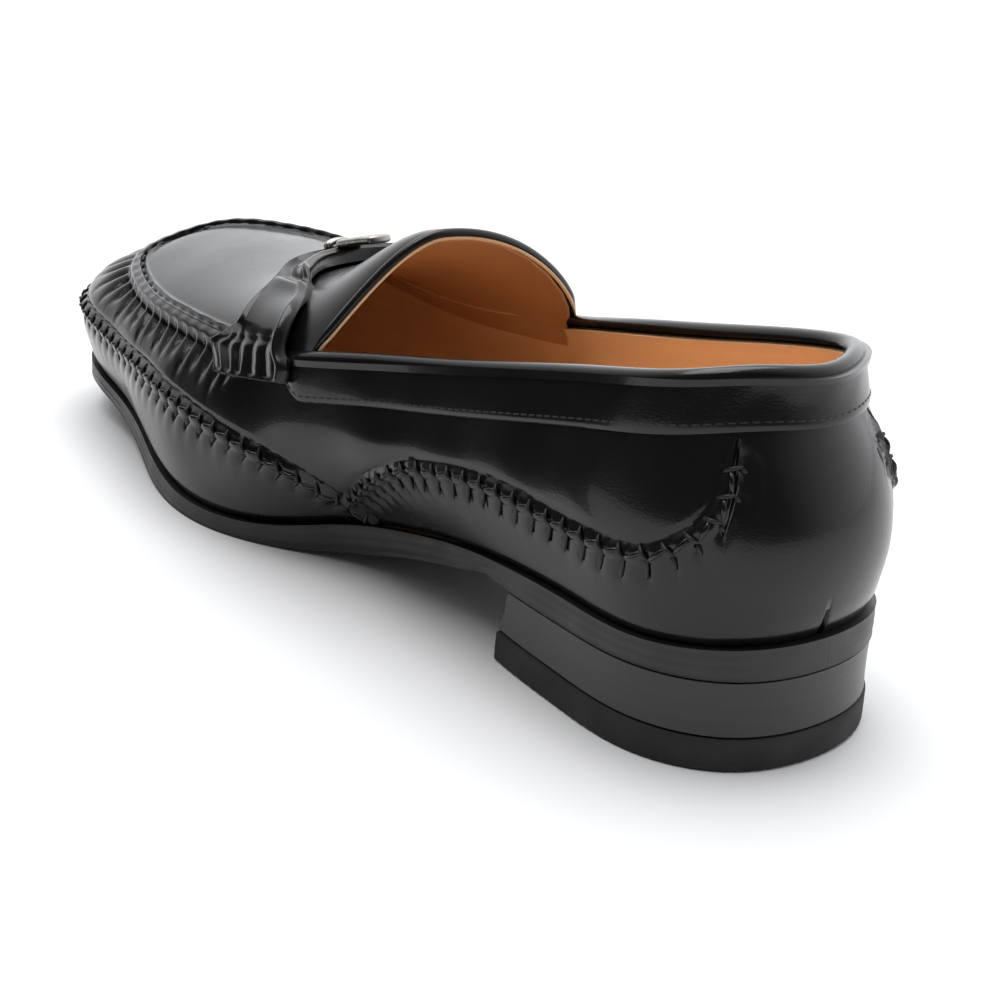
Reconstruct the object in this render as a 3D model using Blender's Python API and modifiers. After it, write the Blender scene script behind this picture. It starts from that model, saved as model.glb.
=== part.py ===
"""Bit loafer for the right foot, in metres: toe towards +Y, outer side towards +X, +Z up.

The upper is one thin shell. Its sections stand around the foot, each with four heights:
feather, bulge, shoulder and top. A closed spline joins them, and rows across the vamp make the
apron, whose last row is the free edge of the tongue.
"""

import math

import bmesh
import bpy
import numpy as np
from mathutils import Vector

# Driving sizes
LENGTH = 0.300
BALL_WIDTH = 0.098
HEEL_HEIGHT = 0.031
BACK_HEIGHT = 0.0916
WALL = 0.002
FIT = 0.0003
SWING = 0.0005
SHARP_DEGREES = 40

# Collar, apron and strap
BAND_HEIGHT = 0.0133
BAND_THICK = 0.0015
BAND_REACH = 0.72
BAND_PUFF = (0.4, 0.95, 1.0, 0.9, 0.45)
RIDGE_HEIGHT = 0.0018
TONGUE_LEAN = 0.009
THROAT_SLANT = 0.005
STRAP_THICK = 0.0018
STRAP_MIDDLE = 0.171
TAB_HALF = 0.0165
GATHER_HALF = 0.0048
GATHER_PUFF = 0.0015
STRAP_BOW = 0.0155
TAB_REACH = 0.22
TAB_CUT = 0.35
CREST_SKEW = 0.72
CREST_EASE = 0.15
FLANK_IN = 1.43
FLANK_OUT = 0.71
DOME_ROUND = 2.2
DOME_POWER = 0.68
DOME_EASE = 0.22

# Sole and heel
SOLE_EDGE = 0.0012
BREAST = 0.0735
BREAST_HOLLOW = 0.004
BREAST_LEAN = 0.003
BREAST_SEAT = 0.64
SEAT_LAYER = 0.0082
LIFT = 0.0082
INSOLE_THICK = 0.0022
TREAD_DEEP = 0.0008
GROOVE = 0.0018
SPINE_SWAY = 0.0015

# Metal ornament
PLATE_LENGTH = 0.0185
PLATE_WIDTH = 0.0075
PLATE_THICK = 0.0024
PLATE_PERCH = 0.0020
RING_WIDTH = 0.0088
RING_HEIGHT = 0.0038
RING_LENGTH = 0.005
RING_KNURLS = 10
PLATE_SIDES = 16

# Steps of the meshes
PER = 3
WALL_ROWS = (0.0, 0.1, 0.22, 0.35, 0.48, 0.6, 0.71, 0.81, 0.9, 0.96, 1.0)
STRAP_STEPS = (41, 6)
BAND_STEPS = 49
SOLE_ACROSS = 7
SOCK_ACROSS = 5
HEEL_SIDES = 60
ACROSS = (0.0, 0.025, 0.055, 0.12, 0.21, 0.32, 0.44, 0.56, 0.68, 0.79, 0.88, 0.945, 0.975, 1.0)

# Sections
# Name, axis as a share of length, direction from the heel in degrees, then the reach of feather,
# bulge, shoulder and top on the inner and the outer side as shares of ball width.
SECTIONS = (
    ("heel back", 0.127, 0, 0.383, 0.403, 0.314, 0.290, 0.383, 0.403, 0.314, 0.290),
    ("back corner", 0.127, 35, 0.386, 0.403, 0.316, 0.282, 0.388, 0.406, 0.316, 0.280),
    ("heel corner", 0.127, 66, 0.361, 0.394, 0.327, 0.284, 0.367, 0.398, 0.332, 0.286),
    ("heel side", 0.167, 90, 0.335, 0.386, 0.337, 0.286, 0.341, 0.390, 0.342, 0.291),
    ("breast", 0.247, 90, 0.306, 0.383, 0.352, 0.301, 0.347, 0.393, 0.357, 0.301),
    ("rear waist", 0.327, 90, 0.255, 0.383, 0.362, 0.321, 0.362, 0.408, 0.372, 0.321),
    ("waist", 0.400, 90, 0.230, 0.393, 0.383, 0.357, 0.388, 0.439, 0.398, 0.357),
    ("throat", 0.467, 90, 0.291, 0.418, 0.423, 0.403, 0.429, 0.480, 0.444, 0.403),
    ("strap", 0.533, 90, 0.393, 0.464, 0.449, 0.408, 0.474, 0.520, 0.490, 0.408),
    ("instep", 0.600, 90, 0.465, 0.498, 0.471, 0.401, 0.500, 0.536, 0.505, 0.408),
    ("ball", 0.677, 90, 0.465, 0.497, 0.462, 0.383, 0.508, 0.539, 0.505, 0.395),
    ("forepart", 0.767, 90, 0.383, 0.429, 0.413, 0.342, 0.474, 0.510, 0.480, 0.372),
    ("toe side", 0.800, 118, 0.355, 0.403, 0.393, 0.296, 0.469, 0.500, 0.469, 0.332),
    ("toe corner", 0.813, 147, 0.464, 0.500, 0.464, 0.301, 0.536, 0.566, 0.510, 0.316),
    ("toe", 0.820, 180, 0.534, 0.559, 0.505, 0.291, 0.534, 0.559, 0.505, 0.291),
)

# Heights of the same sections
# Feather as a share of heel height, top inside and outside as shares of back height, bulge as a
# share of the wall, and rise of the apron as a share of back height.
HEIGHTS = (
    ("heel back", 1.000, 0.991, 0.991, 0.42, 0.000),
    ("back corner", 0.984, 0.997, 0.983, 0.42, 0.000),
    ("heel corner", 0.935, 0.969, 0.961, 0.42, 0.000),
    ("heel side", 0.910, 0.906, 0.906, 0.42, 0.000),
    ("breast", 0.845, 0.841, 0.841, 0.42, 0.000),
    ("rear waist", 0.687, 0.775, 0.775, 0.42, 0.000),
    ("waist", 0.500, 0.715, 0.715, 0.42, 0.000),
    ("throat", 0.355, 0.658, 0.660, 0.40, 0.328),
    ("strap", 0.219, 0.606, 0.617, 0.38, 0.255),
    ("instep", 0.174, 0.562, 0.584, 0.36, 0.175),
    ("ball", 0.206, 0.540, 0.579, 0.35, 0.115),
    ("forepart", 0.329, 0.524, 0.600, 0.35, 0.082),
    ("toe side", 0.419, 0.522, 0.606, 0.36, 0.055),
    ("toe corner", 0.532, 0.535, 0.600, 0.36, 0.027),
    ("toe", 0.581, 0.562, 0.562, 0.36, 0.000),
)
THROAT = 7
TOE = len(SECTIONS) - 1
STATIONS = 2 * TOE
SHOULDER_SHARE = 0.74

# Underside of the sole
# Share of length and height as a share of heel height, ahead of the heel.
UNDERSIDE = (
    (0.330, 0.480),
    (0.404, 0.270),
    (0.471, 0.105),
    (0.539, 0.012),
    (0.575, 0.0),
    (0.675, 0.0),
    (0.724, 0.020),
    (0.768, 0.090),
    (0.842, 0.240),
    (0.926, 0.350),
    (1.020, 0.400),
)

# Leaf of tread on the forepart
# Share of length, then inner and outer half widths as shares of ball width.
LEAF = (
    (0.470, 0.00, 0.00),
    (0.530, 0.16, 0.22),
    (0.600, 0.29, 0.33),
    (0.680, 0.33, 0.37),
    (0.760, 0.31, 0.35),
    (0.840, 0.25, 0.29),
    (0.910, 0.14, 0.17),
    (0.955, 0.00, 0.00),
)
TREAD_RIBS = 8
RIB_FIRST = 0.06
RIB_LAST = 0.10
RIB_SWEEP = 0.05
RIB_ROOT = 0.045
RIB_MARGIN = 0.03
SPINE_MARGIN = 0.04

# Grooves in a V across the lift
# Point and arm ends as shares of the breast's distance from the back.
LIFT_GROOVES = ((0.30, 0.66), (0.44, 0.78))
LIFT_GROOVE_REACH = 0.27


def spline(knots, values, at):
    """Natural cubic spline through rows of values."""
    knots = np.asarray(knots, float)
    values = np.asarray(values, float)
    flat = values.reshape(len(knots), -1)
    step = np.diff(knots)
    count = len(knots)
    matrix = np.eye(count)
    right = np.zeros_like(flat)
    for i in range(1, count - 1):
        matrix[i, i - 1 : i + 2] = (step[i - 1], 2 * (step[i - 1] + step[i]), step[i])
        right[i] = 6 * ((flat[i + 1] - flat[i]) / step[i] - (flat[i] - flat[i - 1]) / step[i - 1])
    bend = np.linalg.solve(matrix, right)
    at = np.atleast_1d(np.asarray(at, float))
    k = np.clip(np.searchsorted(knots, at) - 1, 0, count - 2)
    h = step[k][:, None]
    a = ((knots[k + 1] - at)[:, None]) / h
    b = 1 - a
    out = a * flat[k] + b * flat[k + 1]
    out = out + ((a**3 - a) * bend[k] + (b**3 - b) * bend[k + 1]) * h * h / 6
    return out.reshape((len(at),) + values.shape[1:])


def gentle(table, at):
    """Smooth curve through a table that never overshoots its rows."""
    x = np.array([row[0] for row in table])
    y = np.array([row[1] for row in table])
    rise = np.diff(y) / np.diff(x)
    slope = np.concatenate([[rise[0]], np.zeros(len(x) - 2), [rise[-1]]])
    same = rise[:-1] * rise[1:] > 0
    pair = rise[:-1] + rise[1:]
    slope[1:-1] = np.where(same, 2 * rise[:-1] * rise[1:] / np.where(same, pair, 1.0), 0.0)
    at = np.asarray(at, float)
    k = np.clip(np.searchsorted(x, at) - 1, 0, len(x) - 2)
    h = x[k + 1] - x[k]
    t = np.clip((at - x[k]) / h, 0.0, 1.0)
    first = (1 + 2 * t) * (1 - t) ** 2 * y[k] + t * (1 - t) ** 2 * h * slope[k]
    return first + t * t * (3 - 2 * t) * y[k + 1] + t * t * (t - 1) * h * slope[k + 1]


def fade(value, start, end):
    """Soft step from 0 at start to 1 at end."""
    t = np.clip((value - start) / (end - start), 0.0, 1.0)
    return t * t * (3 - 2 * t)


def section_points(number):
    """Four points of one section and the rise of the apron there. Past the toe, numbers are the outer side."""
    inner = number <= TOE
    place = number if inner else STATIONS - number
    row = SECTIONS[place]
    feather_share, top_inner, top_outer, bulge, rise = HEIGHTS[place][1:]
    reach = np.array(row[3:7] if inner else row[7:11]) * BALL_WIDTH
    angle = math.radians(row[2])
    side = -1 if inner else 1
    near_throat = max(0.0, 1 - abs(place - THROAT) / 2)
    y = row[1] * LENGTH - side * THROAT_SLANT * near_throat
    x = -SWING * fade(y, 0.55 * LENGTH, 0.80 * LENGTH)
    low = feather_share * HEEL_HEIGHT
    high = (top_inner if inner else top_outer) * BACK_HEIGHT
    quarter = row[1] * LENGTH < SECTIONS[THROAT][1] * LENGTH + WALL
    shoulder = 1 - BAND_HEIGHT / (high - low) if quarter else SHOULDER_SHARE
    share = np.array([0.0, bulge, shoulder, 1.0])
    across = x + side * reach * math.sin(angle)
    along = y - reach * math.cos(angle)
    return np.stack([across, along, low + share * (high - low)], axis=1), rise * BACK_HEIGHT


def round_sections():
    """The closed run of sections with a few repeated at each end, and knots by distance along the bulge."""
    numbers = [n % STATIONS for n in range(-5, STATIONS + 6)]
    points = np.array([section_points(n)[0] for n in numbers])
    rise = np.array([section_points(n)[1] for n in numbers])
    return points, rise


POINTS, RISE = round_sections()
KNOTS = np.arange(-5, STATIONS + 6, dtype=float)
CHORD = np.concatenate([[0.0], np.cumsum(np.linalg.norm(np.diff(POINTS[:, 1], axis=0), axis=1))])


def levels(station):
    """Feather, bulge, shoulder and top at any place around the foot, counted in sections."""
    place = np.interp(np.atleast_1d(station) % STATIONS, KNOTS, CHORD)
    return spline(CHORD, POINTS, place)


def rise_at(station):
    place = np.interp(np.atleast_1d(station) % STATIONS, KNOTS, CHORD)
    return np.maximum(spline(CHORD, RISE, place), 0.0)


def column(station, rows):
    """Wall from the feather up to the top: one curve through the four levels."""
    four = levels(station)
    shape = np.moveaxis(four, 1, 0)
    return np.moveaxis(spline((0.0, 1 / 3, 2 / 3, 1.0), shape, rows), 0, 1)


def apron(station, across):
    """Rows over the vamp from the inner to the outer top line. The first row is the tongue's edge."""
    station = np.atleast_1d(station)
    across = np.atleast_1d(across)
    inner = levels(station)[:, 3][:, None]
    outer = levels(STATIONS - station)[:, 3][:, None]
    ahead = fade(station, THROAT, THROAT + 2.2)[:, None]
    w = 2 * across[None, :] ** (CREST_SKEW + CREST_EASE * ahead) - 1
    u = across[None, :, None]
    rise = rise_at(station)[:, None]
    flank = (1 - np.abs(w)) ** np.where(w < 0, FLANK_IN, FLANK_OUT)
    power = DOME_POWER + DOME_EASE * fade(station, THROAT + 1.0, THROAT + 4.0)[:, None]
    dome = np.maximum(1 - np.abs(w) ** DOME_ROUND, 0.0) ** power
    arch = np.sin(0.5 * np.pi * flank) * (1 - ahead) + dome * ahead
    out = inner * (1 - u) + outer * u
    out[:, :, 2] += rise * arch
    lean = TONGUE_LEAN * (1 - fade(station, THROAT, THROAT + 2.0))[:, None]
    out[:, :, 1] -= lean * arch
    return out


def ridge_lift(station, away):
    """Height of the puckered seam, by distance from the top line."""
    first, full = THROAT + 2.05, THROAT + 2.5
    front = fade(station, first, full) * fade(STATIONS - station, first, full)
    return RIDGE_HEIGHT * front * np.clip(1 - (away / 0.0034) ** 2, 0.0, 1.0)


def normals_of(grid, closed):
    """Unit normals of a grid of points, outward for columns that run round by the inner side first."""
    if closed:
        along = np.roll(grid, -1, axis=0) - np.roll(grid, 1, axis=0)
    else:
        along = np.gradient(grid, axis=0)
    up = np.gradient(grid, axis=1)
    out = np.cross(up, along)
    return out / np.maximum(np.linalg.norm(out, axis=2, keepdims=True), 1e-12)


def material(name, colour, rough, metallic=0.0):
    made = bpy.data.materials.new(name)
    made.use_nodes = True
    shader = made.node_tree.nodes["Principled BSDF"]
    shader.inputs["Base Color"].default_value = (*colour, 1.0)
    shader.inputs["Roughness"].default_value = rough
    shader.inputs["Metallic"].default_value = metallic
    return made


def put(name, points, faces, look, collection):
    """One named object from points and faces."""
    mesh = bpy.data.meshes.new(name)
    mesh.from_pydata([tuple(map(float, p)) for p in points], [], [tuple(map(int, f)) for f in faces])
    made = bpy.data.objects.new(name, mesh)
    collection.objects.link(made)
    if look is not None:
        mesh.materials.append(look)
    work = bmesh.new()
    work.from_mesh(mesh)
    bmesh.ops.remove_doubles(work, verts=work.verts, dist=1e-6)
    bmesh.ops.recalc_face_normals(work, faces=work.faces)
    work.to_mesh(mesh)
    work.free()
    mesh.shade_smooth()
    mesh.set_sharp_from_angle(angle=math.radians(SHARP_DEGREES))
    return made


def strip_faces(count, rows, closed):
    """Quads of a grid stored column after column."""
    faces = []
    for c in range(count if closed else count - 1):
        this = c * rows
        after = ((c + 1) % count) * rows
        for r in range(rows - 1):
            faces.append((this + r, after + r, after + r + 1, this + r + 1))
    return faces


def shell_of(outer, inner):
    """Closed solid between two open grids of the same shape."""
    count, rows = outer.shape[:2]
    points = np.concatenate([outer.reshape(-1, 3), inner.reshape(-1, 3)])
    size = count * rows
    faces = strip_faces(count, rows, False)
    faces += [(d + size, c + size, b + size, a + size) for a, b, c, d in [f[::-1] for f in faces]]
    edge = [c * rows for c in range(count)]
    edge += [(count - 1) * rows + r for r in range(1, rows)]
    edge += [c * rows + rows - 1 for c in range(count - 2, -1, -1)]
    edge += [r for r in range(rows - 2, 0, -1)]
    for a, b in zip(edge, edge[1:] + edge[:1]):
        faces.append((a, b, b + size, a + size))
    return points, faces


def make_upper(look, collection):
    """Wall all round, apron across the front, then real thickness inward."""
    count = STATIONS * PER
    station = np.arange(count) / PER
    wall = column(station, WALL_ROWS)
    way = normals_of(wall, True)
    away = np.linalg.norm(wall - wall[:, -1:], axis=2)
    lift = ridge_lift(station[:, None], away)
    tops = way[:, -1] * 0.5 + np.array([0.0, 0.0, 0.85])
    wall = wall + lift[:, :, None] * tops[:, None]
    points = list(wall.reshape(-1, 3))
    rows = len(WALL_ROWS)
    faces = strip_faces(count, rows, True)
    front = list(range(THROAT * PER, TOE * PER + 1))
    grid = apron(np.array(front) / PER, ACROSS)
    for side in (0, -1):
        reach = np.linalg.norm(grid - grid[:, side][:, None], axis=2)
        raised = ridge_lift(np.array(front)[:, None] / PER, reach)
        grid[:, :, 2] += np.where(np.isfinite(raised), raised, 0.0)
    index = np.zeros(grid.shape[:2], int)
    for i, c in enumerate(front):
        inner = c * rows + rows - 1
        outer = ((count - c) % count) * rows + rows - 1
        for j in range(len(ACROSS)):
            if c == TOE * PER or j == 0:
                index[i, j] = inner
            elif j == len(ACROSS) - 1:
                index[i, j] = outer
            else:
                index[i, j] = len(points)
                points.append(grid[i, j])
    for i in range(len(front) - 1):
        for j in range(len(ACROSS) - 1):
            corners = (index[i, j], index[i, j + 1], index[i + 1, j + 1], index[i + 1, j])
            kept = [c for n, c in enumerate(corners) if c not in corners[:n]]
            if len(kept) > 2:
                faces.append(tuple(kept))
    upper = put("upper", points, faces, look, collection)
    thick = upper.modifiers.new("thickness", "SOLIDIFY")
    thick.thickness = WALL
    thick.offset = -1
    thick.use_even_offset = False
    thick.use_rim = True
    return upper


def feather(station, out):
    """Outline of the feather, moved outward by a distance in plan."""
    line = levels(station)[:, 0]
    after = levels(np.asarray(station) + 0.02)[:, 0]
    before = levels(np.asarray(station) - 0.02)[:, 0]
    along = (after - before)[:, :2]
    along /= np.linalg.norm(along, axis=1, keepdims=True)
    line = line.copy()
    line[:, 0] += -along[:, 1] * out
    line[:, 1] += along[:, 0] * out
    return line


def underside(y):
    """Height of the sole's underside: a straight seat over the heel, then arch, tread and toe spring."""
    back = HEEL_HEIGHT - SEAT_LAYER
    first = UNDERSIDE[0][1] * HEEL_HEIGHT
    seat = 1.15 * BREAST
    breast = BREAST_SEAT * HEEL_HEIGHT
    table = [(seat, breast)] + [(a * LENGTH, h * HEEL_HEIGHT) for a, h in UNDERSIDE]
    y = np.asarray(y, float)
    straight = back + (breast - back) * y / seat
    return np.where(y <= seat, straight, gentle(table, np.maximum(y, seat)))


def make_outsole(look, collection):
    """One sheet of sole from heel to toe with a stepped edge."""
    station = np.arange(0, TOE * PER + 1) / PER
    inner = feather(station, SOLE_EDGE)
    outer = feather(STATIONS - station, SOLE_EDGE)
    share = np.linspace(0.0, 1.0, SOLE_ACROSS)
    grid = inner[:, None] * (1 - share[None, :, None]) + outer[:, None] * share[None, :, None]
    top = grid.copy()
    top[:, :, 2] -= FIT
    low = grid.copy()
    low[:, :, 2] = underside(grid[:, :, 1])
    points, faces = shell_of(top, low)
    return put("outsole", points, faces, look, collection)


def heel_ring(out, z, lean):
    """D-shaped outline of the heel at one height. z may be a number or a function of the place."""
    station = np.linspace(-4.4, 4.4, 49)
    line = feather(station % STATIONS, out)
    keep = line[:, 1] < BREAST + lean
    line = line[keep]
    first, last = line[0], line[-1]
    share = np.linspace(0.0, 1.0, 9)[1:-1]
    ends = [np.array([p[0], BREAST + lean, 0.0]) for p in (first, last)]
    s = share[:, None]
    bow = np.array([[0.0, BREAST_HOLLOW, 0.0]])
    hollow = ends[1] * (1 - s) + ends[0] * s - bow * 4 * s * (1 - s)
    ring = np.concatenate([[ends[0]], line[1:-1], [ends[1]], hollow])
    ring[:, 2] = z(ring[:, 1]) if callable(z) else z
    return ring


def loft(rings):
    """Closed solid through rings with the same number of points, flat at both ends."""
    count = len(rings[0])
    points = np.concatenate(rings)
    faces = [tuple(range(count))[::-1], tuple((len(rings) - 1) * count + i for i in range(count))]
    for r in range(len(rings) - 1):
        for i in range(count):
            j = (i + 1) % count
            faces.append((r * count + i, r * count + j, (r + 1) * count + j, (r + 1) * count + i))
    return points, faces


def resample(ring, count):
    """The same closed ring with evenly spaced points, started at the same corner."""
    path = np.concatenate([ring, ring[:1]])
    reach = np.concatenate([[0.0], np.cumsum(np.linalg.norm(np.diff(path, axis=0), axis=1))])
    at = np.linspace(0.0, reach[-1], count, endpoint=False)
    return np.stack([np.interp(at, reach, path[:, k]) for k in range(3)], axis=1)


def make_heel(looks, collection):
    """Stacked block with a fine waist line, and the rubber lift below it."""
    block_top = lambda y: underside(y) - FIT
    middle = 0.5 * (HEEL_HEIGHT - SEAT_LAYER + LIFT)
    rings = [
        resample(heel_ring(SOLE_EDGE - 0.0004, LIFT + FIT, BREAST_LEAN), HEEL_SIDES),
        resample(heel_ring(SOLE_EDGE - 0.0006, middle, 0.5 * BREAST_LEAN), HEEL_SIDES),
        resample(heel_ring(SOLE_EDGE - 0.0002, block_top, 0.0), HEEL_SIDES),
    ]
    points, faces = loft(rings)
    put("heel_block", points, faces, looks[0], collection)
    rings = [
        resample(heel_ring(SOLE_EDGE - 0.0006, 0.0, BREAST_LEAN + 0.001), HEEL_SIDES),
        resample(heel_ring(SOLE_EDGE + 0.0002, 0.0012, BREAST_LEAN + 0.001), HEEL_SIDES),
        resample(heel_ring(SOLE_EDGE + 0.0002, LIFT, BREAST_LEAN), HEEL_SIDES),
    ]
    points, faces = loft(rings)
    return put("top_lift", points, faces, looks[1], collection)


def make_insole(look, collection):
    """Sock on the sole, inside the wall."""
    station = np.arange(0, TOE * PER + 1) / PER
    inner = feather(station, -(WALL + 2 * FIT))
    outer = feather(STATIONS - station, -(WALL + 2 * FIT))
    share = np.linspace(0.0, 1.0, SOCK_ACROSS)
    grid = inner[:, None] * (1 - share[None, :, None]) + outer[:, None] * share[None, :, None]
    top = grid.copy()
    top[:, :, 2] += INSOLE_THICK
    points, faces = shell_of(top, grid)
    return put("insole", points, faces, look, collection)


def make_collar(look, collection):
    """Padded band round the opening, laid on the wall a fit away from it."""
    ends = THROAT + BAND_REACH
    station = np.linspace(-ends, ends, BAND_STEPS)
    near_end = fade(np.abs(station), ends - 0.45, ends)
    low = 2 / 3 + 0.10 * near_end**2
    high = 1.0 - 0.10 * fade(np.abs(station), THROAT - 0.05, THROAT + 0.35)
    share = np.linspace(0.0, 1.0, len(BAND_PUFF))
    grid = []
    for s, a, b in zip(station, low, high):
        grid.append(column(s, a + (b - a) * share)[0])
    grid = np.array(grid)
    way = normals_of(grid, False)
    puff = np.array(BAND_PUFF)[None, :, None]
    points, faces = shell_of(grid + way * (FIT + BAND_THICK * puff), grid + way * FIT)
    return put("collar_band", points, faces, look, collection)


def vamp(s, y):
    """Outer skin over the front: s is -1 and 1 at the apron's edges, and beyond them it runs down the wall."""
    side = levels(np.linspace(THROAT, TOE - 2, 60))[:, 3]
    station = np.interp(y, side[:, 1], np.linspace(THROAT, TOE - 2, 60))
    station = max(station, THROAT)
    if abs(s) <= 1:
        return apron(station, (s + 1) / 2)[0, 0]
    place = station if s < 0 else STATIONS - station
    return column(place, (1 - (abs(s) - 1),))[0, 0]


def strap_grid(count, rows):
    """Middle surface of the strap over the vamp: wide tabs, narrow at the gather."""
    reach = 1 + TAB_REACH
    across = np.linspace(-reach, reach, count)
    t = np.linspace(-1.0, 1.0, rows)
    grid = np.zeros((count, rows, 3))
    for i, s in enumerate(across):
        half = GATHER_HALF + (TAB_HALF - GATHER_HALF) * fade(abs(s), 0.1, 1.1)
        middle = STRAP_MIDDLE + STRAP_BOW * (1 - s**2)
        cut_back = 1 - TAB_CUT * fade(abs(s), 1.02, 1 + TAB_REACH)
        for j, v in enumerate(t):
            grid[i, j] = vamp(s, middle + half * v * (cut_back if v > 0 else 1.0))
    for _ in range(6):
        grid[1:-1] = 0.25 * grid[:-2] + 0.5 * grid[1:-1] + 0.25 * grid[2:]
    return across, grid


def make_strap(look, collection):
    across, grid = strap_grid(*STRAP_STEPS)
    way = -normals_of(grid, False)
    way *= np.sign(way[len(way) // 2, STRAP_STEPS[1] // 2, 2])
    clear = 2 * FIT + BAND_THICK * fade(np.abs(across), 0.7, 0.95)
    clear += 0.0005 * (1 - fade(np.abs(across), 0.9, 1.2))
    thick = STRAP_THICK + GATHER_PUFF * (1 - fade(np.abs(across), 0.2, 0.75))
    low = grid + way * clear[:, None, None]
    high = low + way * thick[:, None, None]
    points, faces = shell_of(high, low)
    put("strap", points, faces, look, collection)
    return across, high


def ornament_ring(centre, up, half_width, height, wave, sides):
    """Rounded outline across the ornament, standing on its centre point."""
    ring = []
    for a in np.linspace(0.0, 2 * math.pi, sides, endpoint=False):
        swell = 1 + wave * math.cos(RING_KNURLS * a)
        x = half_width * swell * np.sign(math.cos(a)) * abs(math.cos(a)) ** 0.7
        z = 0.5 * height * (1 + swell * np.sign(math.sin(a)) * abs(math.sin(a)) ** 0.7)
        ring.append(centre + np.array([x, 0.0, 0.0]) + up * z)
    return np.array(ring)


def make_ornament(look, collection, across, strap_top):
    """Metal plate that rests on the gather and reaches back, and the knurled ring ahead of it."""
    crest = int(np.argmax(strap_top[:, strap_top.shape[1] // 2, 2]))
    front = strap_top[crest, -1]
    tail = front[1] - RING_LENGTH - PLATE_LENGTH
    beside = across[crest - 2 : crest + 3]
    skin = [vamp(s, y) for s in beside for y in np.linspace(tail, front[1], 9)]
    rear = vamp(across[crest], tail) + np.array([0.0, 0.0, STRAP_THICK + GATHER_PUFF + PLATE_PERCH])
    along = (front - rear) / np.linalg.norm(front - rear)
    up = np.cross([1.0, 0.0, 0.0], along)
    up *= np.sign(up[2]) / np.linalg.norm(up)
    near = np.concatenate([strap_top[crest - 2 : crest + 3].reshape(-1, 3), skin])
    over = max(0.0, float(((near - front) @ up).max()))
    seat = front + up * (over + FIT)
    rings = []
    for t in np.linspace(-1.0, 1.0, 7):
        half = 0.5 * PLATE_WIDTH * (1 - 0.3 * t**4)
        place = seat - along * (RING_LENGTH + FIT + 0.5 * PLATE_LENGTH * (1 - t))
        rings.append(ornament_ring(place, up, half, PLATE_THICK * (1 - 0.25 * t**4), 0.0, PLATE_SIDES))
    points, faces = loft(rings)
    put("bit_plate", points, faces, look, collection)
    rings = []
    for t, swell in ((0.0, 0.86), (0.25, 1.0), (0.75, 1.0), (1.0, 0.86)):
        place = seat - along * RING_LENGTH * (1 - t)
        half = 0.5 * RING_WIDTH * swell
        rings.append(ornament_ring(place, up, half, RING_HEIGHT * swell, 0.06, 4 * RING_KNURLS))
    points, faces = loft(rings)
    put("bit_ring", points, faces, look, collection)


def groove(name, path, width, floor, collection):
    """Cutter that follows a path on the underside, as deep as the tread."""
    path = np.asarray(path, float)
    along = np.gradient(path, axis=0)
    along /= np.linalg.norm(along, axis=1, keepdims=True)
    beside = np.stack([-along[:, 1], along[:, 0]], axis=1) * 0.5 * width
    rings = []
    for p, b in zip(path, beside):
        left, right = p + b, p - b
        low, high = -0.002, TREAD_DEEP
        rings.append(
            np.array(
                [
                    [left[0], left[1], floor(left[1]) + low],
                    [right[0], right[1], floor(right[1]) + low],
                    [right[0], right[1], floor(right[1]) + high],
                    [left[0], left[1], floor(left[1]) + high],
                ]
            )
        )
    points, faces = loft(rings)
    cutter = put(name, points, faces, None, collection)
    cutter.hide_render = True
    cutter.display_type = "WIRE"
    return cutter


def cut(target, cutters):
    """Take every cutter of a collection out of the target."""
    tool = target.modifiers.new("tread", "BOOLEAN")
    tool.operation = "DIFFERENCE"
    tool.solver = "EXACT"
    tool.operand_type = "COLLECTION"
    tool.collection = cutters


def cut_tread(outsole, cutters):
    """Leaf of ribs on the forepart: an edge groove, a spine and ribs that sweep forward."""
    table = np.array(LEAF)
    fine = np.linspace(table[0, 0], table[-1, 0], 25)
    inner = gentle(table[:, (0, 1)], fine)
    outer = gentle(table[:, (0, 2)], fine)
    edge = [(-x * BALL_WIDTH, y * LENGTH) for x, y in zip(inner, fine)]
    edge_out = [(x * BALL_WIDTH, y * LENGTH) for x, y in zip(outer, fine)]
    groove("leaf_inner", edge, GROOVE, underside, cutters)
    groove("leaf_outer", edge_out[1:-1], GROOVE, underside, cutters)
    middle = np.linspace(table[0, 0] + SPINE_MARGIN, table[-1, 0] - SPINE_MARGIN, 12)
    spine = [(SPINE_SWAY * math.sin(20 * y), y * LENGTH) for y in middle]
    groove("spine", spine, 2 * GROOVE, underside, cutters)
    for k in range(TREAD_RIBS):
        share = k / (TREAD_RIBS - 1)
        start = (table[0, 0] + RIB_FIRST) * (1 - share) + (table[-1, 0] - RIB_LAST) * share
        for side, reach in ((-1, inner), (1, outer)):
            end = np.interp(start + RIB_SWEEP, fine, reach) - RIB_MARGIN
            if end < RIB_ROOT + 0.5 * RIB_MARGIN:
                continue
            across = np.linspace(RIB_ROOT, end, 6)
            path = [(side * a * BALL_WIDTH, (start + RIB_SWEEP * (a / end) ** 0.7) * LENGTH) for a in across]
            groove(f"rib_{k}_{'in' if side < 0 else 'out'}", path, GROOVE, underside, cutters)
    cut(outsole, cutters)


def cut_lift(lift, cutters):
    """Two grooves in a V across the rubber lift."""
    flat = lambda y: 0.0
    for k, (point, arm) in enumerate(LIFT_GROOVES):
        reach = LIFT_GROOVE_REACH * BALL_WIDTH
        path = [(-reach, arm * BREAST), (-0.5 * reach, 0.5 * (point + arm) * BREAST), (0.0, point * BREAST)]
        path += [(0.5 * reach, 0.5 * (point + arm) * BREAST), (reach, arm * BREAST)]
        groove(f"lift_v_{k}", path, GROOVE, flat, cutters)
    cut(lift, cutters)


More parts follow.
